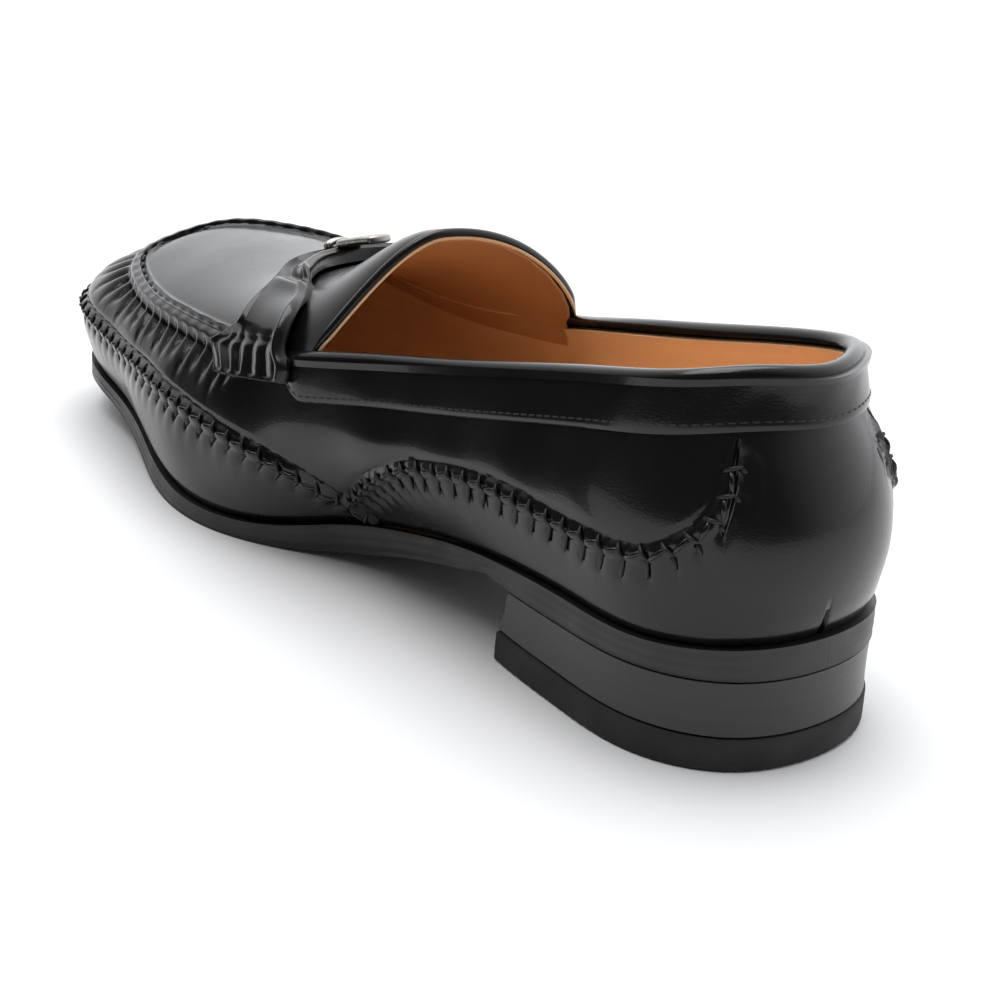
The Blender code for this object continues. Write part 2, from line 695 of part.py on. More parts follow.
def stand_on_origin(measured, moved):
    """Put the middle of the measured pieces over the origin, and leave heights as they are."""
    bpy.context.view_layer.update()
    graph = bpy.context.evaluated_depsgraph_get()
    corners = np.concatenate([np.array(item.evaluated_get(graph).bound_box) for item in measured.objects])
    middle = 0.5 * (corners.min(axis=0) + corners.max(axis=0))
    middle[2] = corners[:, 2].min()
    for item in {item for group in moved for item in group.objects}:
        for vertex in item.data.vertices:
            vertex.co = vertex.co - Vector(middle)
    print("origin at", np.round(middle, 5))


def main():
    for item in list(bpy.data.objects):
        bpy.data.objects.remove(item)
    parts = bpy.data.collections.new("bit_loafer")
    bpy.context.scene.collection.children.link(parts)
    tread = bpy.data.collections.new("tread_cutters")
    lift_tread = bpy.data.collections.new("lift_cutters")
    for cutters in (tread, lift_tread):
        bpy.context.scene.collection.children.link(cutters)
        cutters.hide_render = True
    black = material("polished_leather", (0.012, 0.012, 0.013), 0.22)
    band = material("collar_leather", (0.014, 0.014, 0.015), 0.25)
    strap_look = material("strap_leather", (0.013, 0.013, 0.014), 0.25)
    sole = material("sole_rubber", (0.02, 0.02, 0.021), 0.55)
    stack = material("heel_stack", (0.016, 0.016, 0.017), 0.35)
    lift = material("lift_rubber", (0.025, 0.025, 0.026), 0.8)
    tan = material("sock_leather", (0.62, 0.36, 0.17), 0.5)
    metal = material("dark_metal", (0.25, 0.25, 0.27), 0.2, 1.0)
    make_upper(black, parts)
    outsole = make_outsole(sole, parts)
    top_lift = make_heel((stack, lift), parts)
    cut_tread(outsole, tread)
    cut_lift(top_lift, lift_tread)
    make_insole(tan, parts)
    make_collar(band, parts)
    across, strap_top = make_strap(strap_look, parts)
    make_ornament(metal, parts, across, strap_top)
    stand_on_origin(parts, (parts, tread, lift_tread))


main()
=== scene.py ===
# %% [markdown]
# # A bit loafer, dressed over its plain solids
# The plain solids give every piece its place and size. This lesson builds the leather, the
# seams, the metal bit and the sole again as fine surfaces over them, and paints them.
# Each surface is worked out as a function of two numbers on a grid, with whole arrays.

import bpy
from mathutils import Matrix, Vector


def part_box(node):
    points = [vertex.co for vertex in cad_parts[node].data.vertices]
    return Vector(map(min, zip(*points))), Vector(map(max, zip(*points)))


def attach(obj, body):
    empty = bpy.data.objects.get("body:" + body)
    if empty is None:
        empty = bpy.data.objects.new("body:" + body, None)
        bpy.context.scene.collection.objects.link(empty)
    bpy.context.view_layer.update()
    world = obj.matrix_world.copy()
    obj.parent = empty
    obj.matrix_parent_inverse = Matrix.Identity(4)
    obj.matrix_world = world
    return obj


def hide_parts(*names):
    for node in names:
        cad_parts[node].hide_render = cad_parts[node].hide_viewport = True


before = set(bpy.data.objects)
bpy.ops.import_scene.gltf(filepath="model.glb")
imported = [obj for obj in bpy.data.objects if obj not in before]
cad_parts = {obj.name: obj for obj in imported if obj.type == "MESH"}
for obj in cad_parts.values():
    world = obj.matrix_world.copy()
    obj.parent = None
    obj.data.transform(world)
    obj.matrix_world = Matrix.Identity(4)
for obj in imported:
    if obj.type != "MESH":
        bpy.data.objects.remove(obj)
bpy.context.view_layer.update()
print("solids", sorted(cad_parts))

# %% Tools
import math

import bmesh
import bpy
import numpy as np
from mathutils import Matrix, Vector

# %% [markdown]
# ## Sizes of the shoe
# A shoemaker works from a last: a heel height, a ball width and a set of sections round the
# foot. The same sections stand here as shares of a few real sizes, so a curve can be read
# at any place round the shoe. Sections count from the heel back, along the inner side, to the toe.

# %% Sizes and sections
LENGTH = 0.300
BALL_WIDTH = 0.098
HEEL_HEIGHT = 0.031
BACK_HEIGHT = 0.0916
WALL = 0.002
FIT = 0.0003
SWING = 0.0005
BAND_HEIGHT = 0.0133
RIDGE_HEIGHT = 0.0018
TONGUE_LEAN = 0.009
THROAT_SLANT = 0.005
STRAP_THICK = 0.0018
STRAP_MIDDLE = 0.171
TAB_HALF = 0.0165
GATHER_HALF = 0.0048
GATHER_PUFF = 0.0015
STRAP_BOW = 0.0155
TAB_REACH = 0.22
TAB_CUT = 0.35
CREST_SKEW = 0.72
CREST_EASE = 0.15
FLANK_IN = 1.43
FLANK_OUT = 0.71
DOME_ROUND = 2.2
DOME_POWER = 0.68
DOME_EASE = 0.22
PLATE_LENGTH = 0.0185
SOLE_EDGE = 0.0012
BREAST = 0.0735
BREAST_HOLLOW = 0.004
BREAST_LEAN = 0.003
BREAST_SEAT = 0.64
SEAT_LAYER = 0.0082
LIFT = 0.0082
INSOLE_THICK = 0.0022
STITCH = 0.006

# axis as a share of length, direction in degrees, reach of feather, bulge, shoulder and top on
# the inner and then the outer side as shares of ball width
SECTIONS = (
    (0.127, 0, 0.383, 0.403, 0.314, 0.290, 0.383, 0.403, 0.314, 0.290),
    (0.127, 35, 0.386, 0.403, 0.316, 0.282, 0.388, 0.406, 0.316, 0.280),
    (0.127, 66, 0.361, 0.394, 0.327, 0.284, 0.367, 0.398, 0.332, 0.286),
    (0.167, 90, 0.335, 0.386, 0.337, 0.286, 0.341, 0.390, 0.342, 0.291),
    (0.247, 90, 0.306, 0.383, 0.352, 0.301, 0.347, 0.393, 0.357, 0.301),
    (0.327, 90, 0.255, 0.383, 0.362, 0.321, 0.362, 0.408, 0.372, 0.321),
    (0.400, 90, 0.230, 0.393, 0.383, 0.357, 0.388, 0.439, 0.398, 0.357),
    (0.467, 90, 0.291, 0.418, 0.423, 0.403, 0.429, 0.480, 0.444, 0.403),
    (0.533, 90, 0.393, 0.464, 0.449, 0.408, 0.474, 0.520, 0.490, 0.408),
    (0.600, 90, 0.465, 0.498, 0.471, 0.401, 0.500, 0.536, 0.505, 0.408),
    (0.677, 90, 0.465, 0.497, 0.462, 0.383, 0.508, 0.539, 0.505, 0.395),
    (0.767, 90, 0.383, 0.429, 0.413, 0.342, 0.474, 0.510, 0.480, 0.372),
    (0.800, 118, 0.355, 0.403, 0.393, 0.296, 0.469, 0.500, 0.469, 0.332),
    (0.813, 147, 0.464, 0.500, 0.464, 0.301, 0.536, 0.566, 0.510, 0.316),
    (0.820, 180, 0.534, 0.559, 0.505, 0.291, 0.534, 0.559, 0.505, 0.291),
)
# feather as a share of heel height, top inside and outside as shares of back height, bulge as a
# share of the wall, rise of the apron as a share of back height
HEIGHTS = (
    (1.000, 0.991, 0.991, 0.42, 0.000),
    (0.984, 0.997, 0.983, 0.42, 0.000),
    (0.935, 0.969, 0.961, 0.42, 0.000),
    (0.910, 0.906, 0.906, 0.42, 0.000),
    (0.845, 0.841, 0.841, 0.42, 0.000),
    (0.687, 0.775, 0.775, 0.42, 0.000),
    (0.500, 0.715, 0.715, 0.42, 0.000),
    (0.355, 0.658, 0.660, 0.40, 0.328),
    (0.219, 0.606, 0.617, 0.38, 0.255),
    (0.174, 0.562, 0.584, 0.36, 0.175),
    (0.206, 0.540, 0.579, 0.35, 0.115),
    (0.329, 0.524, 0.600, 0.35, 0.082),
    (0.419, 0.522, 0.606, 0.36, 0.055),
    (0.532, 0.535, 0.600, 0.36, 0.027),
    (0.581, 0.562, 0.562, 0.36, 0.000),
)
THROAT = 7
TOE = len(SECTIONS) - 1
STATIONS = 2 * TOE
SHOULDER_SHARE = 0.74
UNDERSIDE = (
    (0.330, 0.480), (0.404, 0.270), (0.471, 0.105), (0.539, 0.012), (0.575, 0.0), (0.675, 0.0),
    (0.724, 0.020), (0.768, 0.090), (0.842, 0.240), (0.926, 0.350), (1.020, 0.400),
)

# %% [markdown]
# ## Curves through the sections
# A spline draws a smooth line through a few given points, as a bent strip of wood does on a
# drawing board. A plain blend between sections would show a corner at each one, and gloss
# would show it plainly, so the natural cubic spline is used round the shoe and up the wall.

# %% Splines and soft steps
def spline(knots, values, at):
    """Natural cubic: between two rows a and b it gives a*y0 + b*y1 plus the bends of both rows
    times (a^3 - a) and (b^3 - b) and a sixth of the step squared. The bends solve one set of
    equations that keeps slopes equal at every row."""
    knots, values = np.asarray(knots, float), np.asarray(values, float)
    flat = values.reshape(len(knots), -1)
    step = np.diff(knots)
    matrix = np.eye(len(knots))
    inside = np.arange(1, len(knots) - 1)
    matrix[inside, inside - 1] = step[:-1]
    matrix[inside, inside] = 2 * (step[:-1] + step[1:])
    matrix[inside, inside + 1] = step[1:]
    slope = np.diff(flat, axis=0) / step[:, None]
    right = np.zeros_like(flat)
    right[1:-1] = 6 * np.diff(slope, axis=0)
    bend = np.linalg.solve(matrix, right)
    at = np.asarray(at, float)
    place = at.ravel()
    k = np.clip(np.searchsorted(knots, place) - 1, 0, len(knots) - 2)
    h = step[k][:, None]
    a = (knots[k + 1] - place)[:, None] / h
    b = 1 - a
    out = a * flat[k] + b * flat[k + 1] + ((a**3 - a) * bend[k] + (b**3 - b) * bend[k + 1]) * h * h / 6
    return out.reshape(at.shape + values.shape[1:])


def gentle(table, at):
    """Cubic through rows of (place, value). Its slopes are harmonic means, so it never overshoots."""
    x, y = np.array(table, float).T
    rise = np.diff(y) / np.diff(x)
    same = rise[:-1] * rise[1:] > 0
    pair = np.where(same, rise[:-1] + rise[1:], 1.0)
    slope = np.concatenate([rise[:1], np.where(same, 2 * rise[:-1] * rise[1:] / pair, 0.0), rise[-1:]])
    at = np.asarray(at, float)
    k = np.clip(np.searchsorted(x, at) - 1, 0, len(x) - 2)
    h = x[k + 1] - x[k]
    t = np.clip((at - x[k]) / h, 0.0, 1.0)
    first = (1 + 2 * t) * (1 - t) ** 2 * y[k] + t * (1 - t) ** 2 * h * slope[k]
    return first + t * t * (3 - 2 * t) * y[k + 1] + t * t * (t - 1) * h * slope[k + 1]


def fade(value, start, end):
    """Soft step 3t^2 - 2t^3, from 0 at start to 1 at end."""
    t = np.clip((value - start) / (end - start), 0.0, 1.0)
    return t * t * (3 - 2 * t)


def bell(value, width):
    """Bump exp(-(value/width)^2)."""
    return np.exp(-((value / width) ** 2))


def unit(rows):
    """Each row divided by its own length."""
    return rows / np.linalg.norm(rows, axis=-1, keepdims=True)


def between(first, last, across):
    """Straight lines from each point of one row to the same point of another."""
    return first[:, None] * (1 - across[:, None]) + last[:, None] * across[:, None]


def picked(count, wanted):
    """Numbers of a few evenly spaced rows out of many."""
    return np.linspace(0, count - 1, wanted).astype(int)


# %% Sections to points
def fold(station):
    """Station as counted from the heel back on either side."""
    return np.minimum(station, STATIONS - station)


def section_points(number):
    """Feather, bulge, shoulder and top of one section: axis plus reach along its direction."""
    inner = number <= TOE
    place = number if inner else STATIONS - number
    row, heights = SECTIONS[place], HEIGHTS[place]
    reach = np.array(row[2:6] if inner else row[6:10]) * BALL_WIDTH
    angle, side = math.radians(row[1]), -1 if inner else 1
    y = row[0] * LENGTH - side * THROAT_SLANT * max(0.0, 1 - abs(place - THROAT) / 2)
    x = -SWING * fade(y, 0.55 * LENGTH, 0.80 * LENGTH)
    low, high = heights[0] * HEEL_HEIGHT, heights[1 if inner else 2] * BACK_HEIGHT
    quarter = row[0] * LENGTH < SECTIONS[THROAT][0] * LENGTH + WALL
    shoulder = 1 - BAND_HEIGHT / (high - low) if quarter else SHOULDER_SHARE
    share = np.array([0.0, heights[3], shoulder, 1.0])
    return np.stack(
        [x + side * reach * math.sin(angle), y - reach * math.cos(angle), low + share * (high - low)], axis=1
    )


ROUND = [n % STATIONS for n in range(-5, STATIONS + 6)]
POINTS = np.array([section_points(n) for n in ROUND])
RISE = np.array([HEIGHTS[min(n, STATIONS - n)][4] * BACK_HEIGHT for n in ROUND])
KNOTS = np.arange(-5, STATIONS + 6, dtype=float)
CHORD = np.concatenate([[0.0], np.cumsum(np.linalg.norm(np.diff(POINTS[:, 1], axis=0), axis=1))])


def levels(station):
    """The four heights at any place round the foot, shape (..., 4, 3)."""
    return spline(CHORD, POINTS, np.interp(np.asarray(station, float) % STATIONS, KNOTS, CHORD))


def wall(station, height):
    """Point of the wall: the four levels blended by the cubic through 0, 1/3, 2/3 and 1."""
    share = spline((0.0, 1 / 3, 2 / 3, 1.0), np.eye(4), height)
    return (share[..., None] * levels(station)).sum(-2)


def apron(station, across):
    """Point of the plug: a straight line between both top lines, raised by rise * arch.
    The arch is 1 - |w|^2.2 to a power ahead, and sin(pi/2 * (1 - |w|)^flank) at the tongue's edge."""
    station, across = np.broadcast_arrays(np.asarray(station, float), np.asarray(across, float))
    inner, outer = levels(station)[..., 3, :], levels(STATIONS - station)[..., 3, :]
    ahead = fade(station, THROAT, THROAT + 2.2)
    w = 2 * across ** (CREST_SKEW + CREST_EASE * ahead) - 1
    rise = np.maximum(spline(CHORD, RISE, np.interp(station, KNOTS, CHORD)), 0.0)
    flank = (1 - np.abs(w)) ** np.where(w < 0, FLANK_IN, FLANK_OUT)
    power = DOME_POWER + DOME_EASE * fade(station, THROAT + 1.0, THROAT + 4.0)
    dome = np.maximum(1 - np.abs(w) ** DOME_ROUND, 0.0) ** power
    arch = np.sin(0.5 * math.pi * flank) * (1 - ahead) + dome * ahead
    out = inner * (1 - across[..., None]) + outer * across[..., None]
    out[..., 2] += rise * arch
    out[..., 1] -= TONGUE_LEAN * (1 - fade(station, THROAT, THROAT + 2.0)) * arch
    return out


def feather(station, out):
    """Outline of the wall's foot in plan, moved outward by a distance."""
    station = np.asarray(station, float)
    along = unit((levels(station + 0.02) - levels(station - 0.02))[..., 0, :2])
    line = levels(station)[..., 0, :].copy()
    line[..., 0] -= along[..., 1] * out
    line[..., 1] += along[..., 0] * out
    return line


def outlines(station, out):
    """The foot's outline on the inner and on the outer side."""
    return feather(station, out), feather(STATIONS - station, out)


def underside(y):
    """Height of the sole's underside: a straight seat over the heel, then arch, tread and toe spring."""
    back, breast, seat = HEEL_HEIGHT - SEAT_LAYER, BREAST_SEAT * HEEL_HEIGHT, 1.15 * BREAST
    table = [(seat, breast)] + [(a * LENGTH, h * HEEL_HEIGHT) for a, h in UNDERSIDE]
    y = np.asarray(y, float)
    return np.where(y <= seat, back + (breast - back) * y / seat, gentle(table, np.maximum(y, seat)))


# %% [markdown]
# ## Where the drawing meets the solids
# The sections start at the heel back, and the solids stand with their middle over the origin.
# The sole's own outline, drawn with the same steps as the solid's, gives the shift.

# %% The shift
third = np.arange(0, 3 * TOE + 1) / 3
outline = np.concatenate(outlines(third, SOLE_EDGE))
sole_low, sole_high = (np.array(corner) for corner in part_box("outsole"))
SHIFT = 0.5 * (sole_low + sole_high) - 0.5 * (outline.min(0) + outline.max(0))
SHIFT[2] = 0.0
print("shift", np.round(SHIFT, 5))


# %% [markdown]
# ## From arrays to pieces
# A mesh is a list of points and a list of corners. Both go in as whole arrays. A grid whose
# columns are closed rings makes a tube, and a thin one makes a sheet of leather with two faces
# and an edge, which is what a cut panel is.

# %% Meshes
def put(name, points, faces, look, stands_for=(), sharp=50):
    """One object from points (n, 3) and arrays of faces, shifted to the solids, facing out."""
    points = np.ascontiguousarray(np.asarray(points, float).reshape(-1, 3) + SHIFT)
    corners = np.concatenate([f.ravel() for f in faces])
    sizes = np.concatenate([np.full(len(f), f.shape[1]) for f in faces])
    mesh = bpy.data.meshes.new(name)
    mesh.vertices.add(len(points))
    mesh.vertices.foreach_set("co", points.ravel())
    mesh.loops.add(len(corners))
    mesh.loops.foreach_set("vertex_index", corners.astype(np.int32))
    mesh.polygons.add(len(sizes))
    mesh.polygons.foreach_set("loop_start", np.concatenate([[0], np.cumsum(sizes)[:-1]]).astype(np.int32))
    mesh.update(calc_edges=True)
    mesh.validate()
    work = bmesh.new()
    work.from_mesh(mesh)
    bmesh.ops.remove_doubles(work, verts=work.verts, dist=1e-6)
    if work.calc_volume(signed=True) < 0:
        bmesh.ops.reverse_faces(work, faces=work.faces)
    work.to_mesh(mesh)
    count = sum(len(face.verts) - 2 for face in work.faces)
    work.free()
    mesh.shade_smooth()
    mesh.set_sharp_from_angle(angle=math.radians(sharp))
    mesh.materials.append(look)
    made = bpy.data.objects.new(name, mesh)
    bpy.context.scene.collection.objects.link(made)
    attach(made, "root")
    if stands_for:
        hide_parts(*stands_for)
    print(f"{name}: {count} triangles")
    return made


def sweep(columns, ring, closed):
    """Quads between neighbouring closed rings of points. An open run gets one face at each end."""
    c = np.arange(columns if closed else columns - 1)[:, None]
    r = np.arange(ring)[None, :]
    here, there, after = c * ring, ((c + 1) % columns) * ring, (r + 1) % ring
    faces = [np.stack([here + r, there + r, there + after, here + after], -1).reshape(-1, 4)]
    if not closed:
        faces += [np.arange(ring)[None, ::-1], (columns - 1) * ring + np.arange(ring)[None]]
    return faces


def put_rings(name, rings, look, stands_for=(), closed=False):
    """One piece from a row of closed rings, shape (rings, points, 3)."""
    return put(name, rings, sweep(*rings.shape[:2], closed), look, stands_for)


def put_sheet(name, outer, inner, closed, look, slot, stands_for=()):
    """One panel of leather: each column runs up its outer face and down its inner one."""
    put_rings(name, np.concatenate([outer, inner[:, ::-1]], axis=1), look, stands_for, closed)


def normals(grid, closed=False):
    """Unit normals of a grid: the cross product of its two directions, outward for a wall whose
    columns run from the heel by the inner side."""
    if closed:
        along = np.roll(grid, -1, axis=0) - np.roll(grid, 1, axis=0)
    else:
        along = np.gradient(grid, axis=0)
    out = np.cross(np.gradient(grid, axis=1), along)
    return out / np.maximum(np.linalg.norm(out, axis=-1, keepdims=True), 1e-12)


def run_length(line):
    """Distance along a line of points, starting at 0."""
    return np.concatenate([[0.0], np.cumsum(np.linalg.norm(np.diff(line, axis=0), axis=1))])


def row_at(rows, run, at):
    """Points or directions read at given distances along a line."""
    return np.stack([np.interp(at, run, column) for column in rows.T], 1)


# %% [markdown]
# ## Leather, rubber and metal
# Polished leather is a dark, slightly rough base under a thin clear coat. The coat gives the
# sharp light and the base the wide soft one. Fine grain and slow waves come from noise, read in
# the object's own coordinates, so they stay on the shoe when it turns.

# %% Materials
def finish(name, colour, rough, coat=0.0, metallic=0.0, coat_rough=0.1):
    """New material with its tree and its shader."""
    made = bpy.data.materials.new(name)
    made.use_nodes = True
    shader = made.node_tree.nodes["Principled BSDF"]
    shader.inputs["Base Color"].default_value = (*colour, 1.0)
    shader.inputs["Roughness"].default_value = rough
    shader.inputs["Metallic"].default_value = metallic
    shader.inputs["Coat Weight"].default_value = coat
    shader.inputs["Coat Roughness"].default_value = coat_rough
    return made, made.node_tree, shader


def feed(tree, shader, **values):
    """Links values to the shader's sockets: base_color goes to Base Color."""
    for key, value in values.items():
        tree.links.new(value, shader.inputs[key.replace("_", " ").title()])


def noise(tree, scale, detail=3.0, stretch=(1.0, 1.0, 1.0)):
    """Noise read in the object's own coordinates, stretched along an axis where asked."""
    place = tree.nodes.new("ShaderNodeTexCoord")
    turn = tree.nodes.new("ShaderNodeMapping")
    turn.inputs["Scale"].default_value = stretch
    tree.links.new(place.outputs["Object"], turn.inputs["Vector"])
    made = tree.nodes.new("ShaderNodeTexNoise")
    made.inputs["Scale"].default_value = scale
    made.inputs["Detail"].default_value = detail
    made.inputs["Roughness"].default_value = 0.55
    tree.links.new(turn.outputs["Vector"], made.inputs["Vector"])
    return made.outputs["Fac"]


def cells(tree, scale):
    """Small round cells with dark lines between them, as the grain of hide."""
    place = tree.nodes.new("ShaderNodeTexCoord")
    made = tree.nodes.new("ShaderNodeTexVoronoi")
    made.inputs["Scale"].default_value = scale
    tree.links.new(place.outputs["Object"], made.inputs["Vector"])
    return made.outputs["Distance"]


def span(tree, value, low, high, to_low, to_high):
    """Straight map of a range of values to another."""
    made = tree.nodes.new("ShaderNodeMapRange")
    for key, number in (("From Min", low), ("From Max", high), ("To Min", to_low), ("To Max", to_high)):
        made.inputs[key].default_value = number
    tree.links.new(value, made.inputs["Value"])
    return made.outputs["Result"]


def tint(tree, value, dark, light):
    """Blend of two colours by a value."""
    made = tree.nodes.new("ShaderNodeMix")
    made.data_type = "RGBA"
    made.inputs["A"].default_value = (*dark, 1.0)
    made.inputs["B"].default_value = (*light, 1.0)
    tree.links.new(value, made.inputs["Factor"])
    return made.outputs["Result"]


def relief(tree, value, distance, under=None):
    """Bump of a given height, over another bump where one is given."""
    made = tree.nodes.new("ShaderNodeBump")
    made.inputs["Distance"].default_value = distance
    made.inputs["Strength"].default_value = 1.0
    tree.links.new(value, made.inputs["Height"])
    if under is not None:
        tree.links.new(under, made.inputs["Normal"])
    return made.outputs["Normal"]


def polished(name, rough, coat, grain, wave):
    """Black polished leather: hide cells, slow waves, and roughness that wanders a little."""
    made, tree, shader = finish(name, (0.010, 0.010, 0.011), rough, coat, coat_rough=0.06)
    shader.inputs["Specular IOR Level"].default_value = 0.30
    slow = relief(tree, noise(tree, 42.0, 2.0), wave)
    fine = relief(tree, cells(tree, 1500.0), grain, slow)
    worn = span(tree, noise(tree, 26.0, 5.0), 0.3, 0.7, rough - 0.05, rough + 0.09)
    colour = tint(tree, noise(tree, 60.0, 4.0), (0.0025, 0.0025, 0.0028), (0.0060, 0.0058, 0.0058))
    feed(tree, shader, normal=fine, coat_normal=slow, roughness=worn, base_color=colour)
    return made


def tan_leather(name, dark, light, rough):
    """Plain calf lining: warm tan, darker in slow clouds, with pores and faint rubbed streaks."""
    made, tree, shader = finish(name, light, rough)
    colour = tint(tree, noise(tree, 30.0, 6.0), dark, light)
    slow = relief(tree, noise(tree, 120.0, 3.0), 0.00015)
    pores = relief(tree, cells(tree, 1300.0), 0.00008, slow)
    feed(tree, shader, base_color=colour, normal=pores)
    return made


def rubber(name, dark, light, rough, grain):
    """Moulded rubber or waxed thread: matte, with a fine even grain and a few scuffed clouds."""
    made, tree, shader = finish(name, dark, rough)
    colour = tint(tree, noise(tree, 45.0, 6.0), dark, light)
    scuffs = span(tree, noise(tree, 80.0, 4.0), 0.3, 0.7, rough - 0.08, rough + 0.1)
    skin = relief(tree, noise(tree, 2600.0, 2.0), grain)
    feed(tree, shader, base_color=colour, roughness=scuffs, normal=skin)
    return made


def stack_look():
    """Stacked heel: satin black with thin level layers, drawn by noise stretched flat."""
    made, tree, shader = finish("heel_stack", (0.014, 0.014, 0.014), 0.36, 0.15, coat_rough=0.25)
    layers = noise(tree, 900.0, 2.0, (0.02, 0.02, 1.0))
    colour = tint(tree, layers, (0.007, 0.007, 0.007), (0.017, 0.016, 0.015))
    feed(tree, shader, base_color=colour, normal=relief(tree, layers, 0.00006))
    return made


def metal_look():
    """Dark plated metal, lighter and warmer in random patches, with roughness that wanders and fine
    scratches.
    """
    made, tree, shader = finish("dark_metal", (0.36, 0.345, 0.325), 0.26, metallic=1.0)
    colour = tint(tree, noise(tree, 260.0, 5.0), (0.20, 0.19, 0.185), (0.52, 0.49, 0.45))
    rubbed = span(tree, noise(tree, 900.0, 3.0), 0.3, 0.7, 0.18, 0.40)
    scratches = relief(tree, noise(tree, 3000.0, 2.0, (1.0, 0.1, 1.0)), 0.00003)
    feed(tree, shader, base_color=colour, roughness=rubbed, normal=scratches)
    return made


BLACK = polished("polished_black", 0.22, 0.24, 0.00002, 0.00006)
BAND_LOOK = polished("padded_black", 0.20, 0.24, 0.00002, 0.00003)
STRAP_LOOK = polished("strap_black", 0.20, 0.32, 0.00003, 0.0001)
THREAD = rubber("waxed_thread", (0.002, 0.002, 0.002), (0.005, 0.005, 0.005), 0.50, 0.00004)
# Two copies of the tan calf lining: the darker one is painted shade for under the tongue, the lighter one is
# painted light for the quarters and the sock.
TAN_PAINTED_SHADE = tan_leather("tan_calf_painted_shade", (0.50, 0.26, 0.12), (0.62, 0.35, 0.17), 0.5)
TAN_PAINTED_LIGHT = tan_leather("tan_calf_painted_light", (0.82, 0.52, 0.29), (0.92, 0.62, 0.38), 0.5)
CREAM = tan_leather("raw_edge", (0.68, 0.47, 0.28), (0.85, 0.63, 0.42), 0.65)
SOLE = rubber("sole_rubber", (0.009, 0.009, 0.0095), (0.016, 0.016, 0.016), 0.42, 0.00002)
LIFT_LOOK = rubber("lift_rubber", (0.009, 0.009, 0.009), (0.016, 0.0155, 0.015), 0.75, 0.00006)
STACK = stack_look()
METAL = metal_look()
print("finishes", len(bpy.data.materials))

# %% [markdown]
# ## Seams on the wall
# The hand-sewn look comes from one thread that whips over the edge of two pieces of leather. On
# the quarters the seam is a wave; from the waist it goes on round the toe. The places below are
# read as section number and share of the wall's height, the same on both sides.

# %% Seam tables
WAVE_SEAM = (
    (0.00, 0.650), (0.90, 0.655), (1.16, 0.640), (1.20, 0.560), (1.26, 0.460), (1.38, 0.395), (1.62, 0.333),
    (1.94, 0.285), (2.27, 0.266), (2.63, 0.270), (3.18, 0.288), (3.83, 0.322), (4.30, 0.352), (4.78, 0.364),
    (5.12, 0.364), (5.40, 0.345), (5.75, 0.298), (6.16, 0.222), (6.50, 0.150), (6.71, 0.114), (6.95, 0.180),
    (7.36, 0.279), (8.02, 0.398), (8.90, 0.488), (9.83, 0.545), (10.6, 0.560), (11.5, 0.535), (14.0, 0.450),
)
SLIT = 0.06
FOOT_SEAM = ((6.44, -0.02), (6.54, 0.005), (6.63, 0.05), (6.71, 0.114))


def seam_height(station):
    """Share of the wall at which the seam runs, the same on the inner and the outer side."""
    return gentle(WAVE_SEAM, fold(station))


def station_steps():
    """Columns round the wall: closer together where the toe is gathered."""
    fine = np.linspace(0.0, STATIONS, 4001)
    middle = levels(fine)[:, 1]
    per = np.linalg.norm(np.diff(middle, axis=0), axis=1) * np.where(np.abs(fine[1:] - TOE) < 5.2, 1.25, 1.0)
    per = per * np.where(np.abs(fine[1:] - SLIT) < 0.10, 4.0, 1.0)
    total = np.concatenate([[0.0], np.cumsum(per)])
    return np.interp(np.linspace(0.0, total[-1], 1000, endpoint=False), total, fine)


STATION = station_steps()
print("columns", len(STATION))


def nearest(points, line, block=3000):
    """Distance from each point to the nearest of a dense line's points, and the number of that point."""
    flat = points.reshape(-1, 3)
    away, which = np.empty(len(flat)), np.empty(len(flat), int)
    for start in range(0, len(flat), block):
        part = flat[start : start + block]
        square = (part**2).sum(1)[:, None] + (line**2).sum(1)[None] - 2 * part @ line.T
        which[start : start + block] = square.argmin(1)
        away[start : start + block] = np.sqrt(np.maximum(square.min(1), 0.0))
    return away.reshape(points.shape[:-1]), which.reshape(points.shape[:-1])


def seam_line(table, side, count=900):
    """Dense points of a seam on one side of the wall, with their run and place."""
    first, last = max(table[0][0], 0.0), table[-1][0]
    station = np.linspace(first, last, count)
    height = gentle(table, station)
    place = station if side < 0 else STATIONS - station
    line = wall(place, height)
    return line, run_length(line), place, height


SEAMS = []
for side in (-1, 1):
    whole = tuple(row for row in WAVE_SEAM if row[0] > 1.0)
    SEAMS.append((side, "main", *seam_line(whole, side, 1400)))
    SEAMS.append((side, "foot", *seam_line(FOOT_SEAM, side, 200)))


# %% [markdown]
# ## The wall of the upper
# Real moccasin leather is pulled tight by its thread, so it puckers at every stitch: deep folds
# between the apron seam and the foot seam, a bead along each seam, and a groove where each long
# stitch presses in. These are heights added along the surface's normal.

# %% Relief of the wall
RIDGE_HALF = 0.0030
PLEAT_DEPTH = 0.0017
ROPE_HIGH, ROPE_HALF = 0.0010, 0.0021
TAIL_DEPTH, TAIL_HALF = 0.0007, 0.00055
TAIL_LONG, TAIL_CUT = 0.0062, 0.0023
PUFF = 0.00022
SLIT_DEPTH = 0.0020


def ridge_front(station):
    """1 where the raised apron seam shows, 0 behind the strap."""
    return fade(fold(station), THROAT + 1.55, THROAT + 1.95)


TOP_STATION = np.linspace(0.0, STATIONS, 2801)
TOP_RUN = run_length(levels(TOP_STATION)[:, 3])
TOP_RUN = TOP_RUN - TOP_RUN[-1] / 2


def top_phase(station):
    """How many stitches lie between the toe and a place on the apron seam."""
    return np.interp(station, TOP_STATION, TOP_RUN) / STITCH


def ridge_lift(station, away):
    """Height of the raised seam, (1 - (away/half)^2)^1.3, a little higher between the stitches."""
    swell = 1 + 0.03 * np.cos(2 * math.pi * top_phase(station))
    round_top = np.clip(1 - (away / RIDGE_HALF) ** 2, 0.0, 1.0) ** 1.3
    return 1.35 * RIDGE_HEIGHT * swell * ridge_front(station) * round_top


